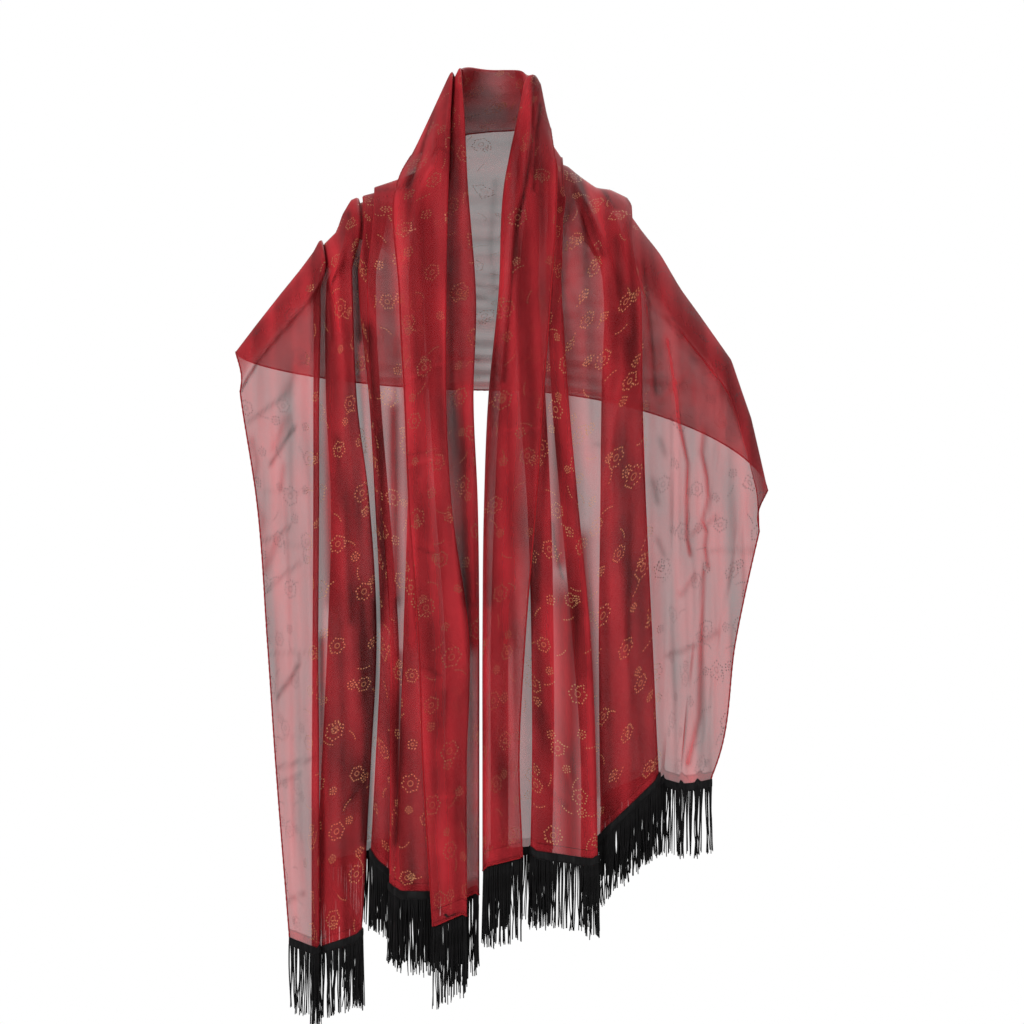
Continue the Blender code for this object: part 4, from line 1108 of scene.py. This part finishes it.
def half_sheets(cloth, fullest=MOST_COLUMNS):
    """The four front stretches by name, each as a dictionary, with at most so many columns as asked."""
    sheets = {}
    for side, folds, ridge in (("left", LEFT_FOLDS, LEFT_RIDGE), ("right", RIGHT_FOLDS, RIGHT_RIDGE)):
        half = Half(folds, ridge)
        outside = 1.0 if side == "left" else -1.0
        roll = half.names.index("roll")
        inner = half.names.index("pleat_left" if side == "left" else "bundle_right")
        for piece, first, last, edge in (("front", 0, roll, 0), ("lapel", roll, len(half.names) - 1, -1)):
            wide = sum(half.width(row) for row in range(first, last))
            step = max(cloth.step, wide / MOST_LINES)
            probe = half.front(first, last, step, 2)[0]
            columns = min(fullest, int(MOST_POINTS / len(probe)))
            grid, way, right_side = half.front(first, last, step, columns)
            rise = np.linalg.norm(np.diff(grid, axis=1), axis=-1)
            along = np.concatenate([np.zeros((len(grid), 1)), np.cumsum(rise, axis=1)], axis=1)
            beyond = -outside * (grid[..., 0] - half.fold_x(inner, grid[..., 2]))
            sheets[f"{side}_{piece}"] = {
                "grid": grid, "across": np.repeat(way[:, None], columns, axis=1), "along": along,
                "right_side": right_side, "edge": edge, "outside": outside,
                # glint: dull metal thread on the wrong side, and painted shade of the thread on single cloth
                # beyond the inner fold
                "glint": (1.0 - smooth_step(0.002, 0.010, beyond)) * (0.40 + 0.60 * right_side[:, None])}
    return sheets


class WRAP_OT_cloth(Operator):
    """Drape the six stretches of cloth and roll their free edges"""
    bl_idname = "wrap.cloth"
    bl_label = "Cloth"

    def execute(self, context):
        cloth = context.scene.wrap_cloth
        material = chiffon(cloth)
        hem_material = hem_cloth(cloth)
        for name, sheet in half_sheets(cloth).items():
            grid = sheet["grid"]
            obj = add_cloth(name, grid, sheet["across"], sheet["along"], material, cloth.cover,
                            FRONT_CREASES, sheet["glint"])
            hems = [add_edge_hem(f"{name}_edge", grid[sheet["edge"]], hem_material),
                    add_edge_hem(f"{name}_end", grid[:, 0], hem_material)]
            self.declare_sheet(obj, hems, grid)
        halves = (Half(LEFT_FOLDS, LEFT_RIDGE), Half(RIGHT_FOLDS, RIGHT_RIDGE))
        rolls = [half.names.index("roll") for half in halves]
        ends = [len(half.names) - 1 for half in halves]
        height = BACK_TOP - BACK_LOW
        back, shares = across_back(
            halves, [(0, roll) for roll in rolls], *BACK_GRID,
            lambda share: BACK_LOW + height * share,
            lambda share: fold_stand((1.0 - share) * height)
            - SWAG_DEPTH * (1 - share) * np.sin(2 * np.pi * SWAG_COUNT * share ** SWAG_CROWDING) ** 2,
            lambda share: SAG_LOW + SAG_RISE * share)
        self.add_across("back", back, shares, BACK_CUT, 0, material, hem_material, cloth)
        collar, shares = across_back(
            halves, list(zip(rolls, ends)), *COLLAR_GRID,
            lambda share: BACK_TOP - COLLAR_FALL * share,
            lambda share: COLLAR_STAND - fold_stand(share * COLLAR_FALL),
            np.ones_like)
        self.add_across("collar", collar, shares, COLLAR_CUT, -1, material, hem_material, cloth)
        return {"FINISHED"}

    def add_across(self, name, grid, shares, cut, edge, material, hem_material, cloth):
        """A stretch across the back or the nape with its rolled edge, by start and width in the cut."""
        run = np.linalg.norm(np.diff(grid, axis=1), axis=-1)
        along = BACK_CUT_START + np.concatenate([np.zeros((len(grid), 1)), np.cumsum(run, axis=1)], axis=1)
        across = np.repeat((cut[0] + cut[1] * shares)[:, None], grid.shape[1], axis=1)
        obj = add_cloth(name, grid, across, along, material, cloth.cover, BACK_CREASES,
                        np.full(grid.shape[:2], 0.6))
        self.declare_sheet(obj, [add_edge_hem(f"{name}_edge", grid[edge], hem_material)], grid)

    def declare_sheet(self, obj, hems, grid):
        """Works out the cross products of the grid's cells, and does nothing more with them."""
        cells = np.cross(grid[1:, 1:] - grid[:-1, :-1], grid[1:, :-1] - grid[:-1, 1:])


class WRAP_OT_trim(Operator):
    """Sew braid and fringe to the four stretches of the short ends"""
    bl_idname = "wrap.trim"
    bl_label = "Braid and fringe"

    def execute(self, context):
        trim = context.scene.wrap_trim
        braid_material = trim_yarn(trim, "black_braid", 2900.0)
        strand_material = trim_yarn(trim, "black_fringe", 2400.0)
        rng = np.random.default_rng(trim.seed)
        for name, sheet in half_sheets(context.scene.wrap_cloth, 2).items():
            line = sheet["grid"][:, 0]
            add_braid(name, line, sheet["outside"], braid_material)
            longer = WRONG_SIDE_FRINGE * (1.0 - sheet["right_side"])
            add_strands(name, line, sheet["outside"], longer, trim, strand_material, rng)
        return {"FINISHED"}


class WRAP_OT_stage(Operator):
    """Set up the floor, the lights and the camera"""
    bl_idname = "wrap.stage"
    bl_label = "Stage"

    def execute(self, context):
        stage = context.scene.wrap_stage
        self.add_floor(stage)
        self.add_lights(context)
        data = bpy.data.cameras.new("camera")
        data.lens = data.sensor_width * stage.distance / stage.frame_width
        camera = bpy.data.objects.new("camera", data)
        camera.location = (CAMERA_X, CAMERA_AIM_Y - stage.distance, CAMERA_HEIGHT)
        camera.rotation_euler = (math.radians(90), 0.0, 0.0)
        context.scene.collection.objects.link(camera)
        context.scene.camera = camera
        context.scene.view_settings.view_transform = "Standard"
        context.scene.cycles.transparent_max_bounces = 48
        return {"FINISHED"}

    def add_floor(self, stage):
        """A pale floor that is far larger than the wrap."""
        paint = Paint("pale_floor")
        material = paint.finish(Base_Color=(0.86, 0.85, 0.84, 1.0), Roughness=0.8)
        corners = np.array([(-6, -6, 0), (6, -6, 0), (6, 4, 0), (-6, 4, 0)], dtype=float)
        corners[:, 2] = stage.floor
        floor = new_mesh("floor", corners, [[0, 1, 2, 3]])
        floor.data.materials.append(material)

    def add_lights(self, context):
        """A large key from the upper left, a fill from the right, and a white surround."""
        for name, place, size, power in LIGHTS:
            data = bpy.data.lights.new(name, "AREA")
            data.size = size
            data.energy = power
            light = bpy.data.objects.new(name, data)
            light.location = place
            toward = Vector(LIGHT_AIM) - Vector(place)
            light.rotation_euler = toward.to_track_quat("-Z", "Y").to_euler()
            context.scene.collection.objects.link(light)
        world = bpy.data.worlds.new("surround")
        world.use_nodes = True
        tree = world.node_tree
        surround = tree.nodes["Background"]
        surround.inputs[0].default_value = (1.0, 1.0, 1.0, 1.0)
        path = tree.nodes.new("ShaderNodeLightPath")
        level = tree.nodes.new("ShaderNodeMapRange")
        level.inputs["To Min"].default_value = SURROUND_LIGHT
        level.inputs["To Max"].default_value = 1.0
        tree.links.new(path.outputs["Is Camera Ray"], level.inputs["Value"])
        tree.links.new(level.outputs[0], surround.inputs["Strength"])
        context.scene.world = world


class WRAP_PT_panel(Panel):
    """The wrap's settings and steps"""
    bl_idname = "WRAP_PT_panel"
    bl_label = "Fringed evening wrap"
    bl_space_type = "VIEW_3D"
    bl_region_type = "UI"
    bl_category = "Wrap"

    def draw(self, context):
        scene = context.scene
        for settings, step in ((scene.wrap_cloth, "wrap.cloth"), (scene.wrap_trim, "wrap.trim"),
                               (scene.wrap_stage, "wrap.stage")):
            box = self.layout.box()
            for key in settings.__annotations__:
                box.prop(settings, key)
            box.operator(step)


CLASSES = (WrapCloth, WrapTrim, WrapStage, WRAP_OT_cloth, WRAP_OT_trim, WRAP_OT_stage, WRAP_PT_panel)


def register():
    for cls in CLASSES:
        bpy.utils.register_class(cls)
    bpy.types.Scene.wrap_cloth = PointerProperty(type=WrapCloth)
    bpy.types.Scene.wrap_trim = PointerProperty(type=WrapTrim)
    bpy.types.Scene.wrap_stage = PointerProperty(type=WrapStage)


def unregister():
    del bpy.types.Scene.wrap_stage
    del bpy.types.Scene.wrap_trim
    del bpy.types.Scene.wrap_cloth
    for cls in reversed(CLASSES):
        bpy.utils.unregister_class(cls)


def main():
    register()
    bpy.ops.wrap.cloth()
    bpy.ops.wrap.trim()
    bpy.ops.wrap.stage()


if __name__ == "__main__":
    main()
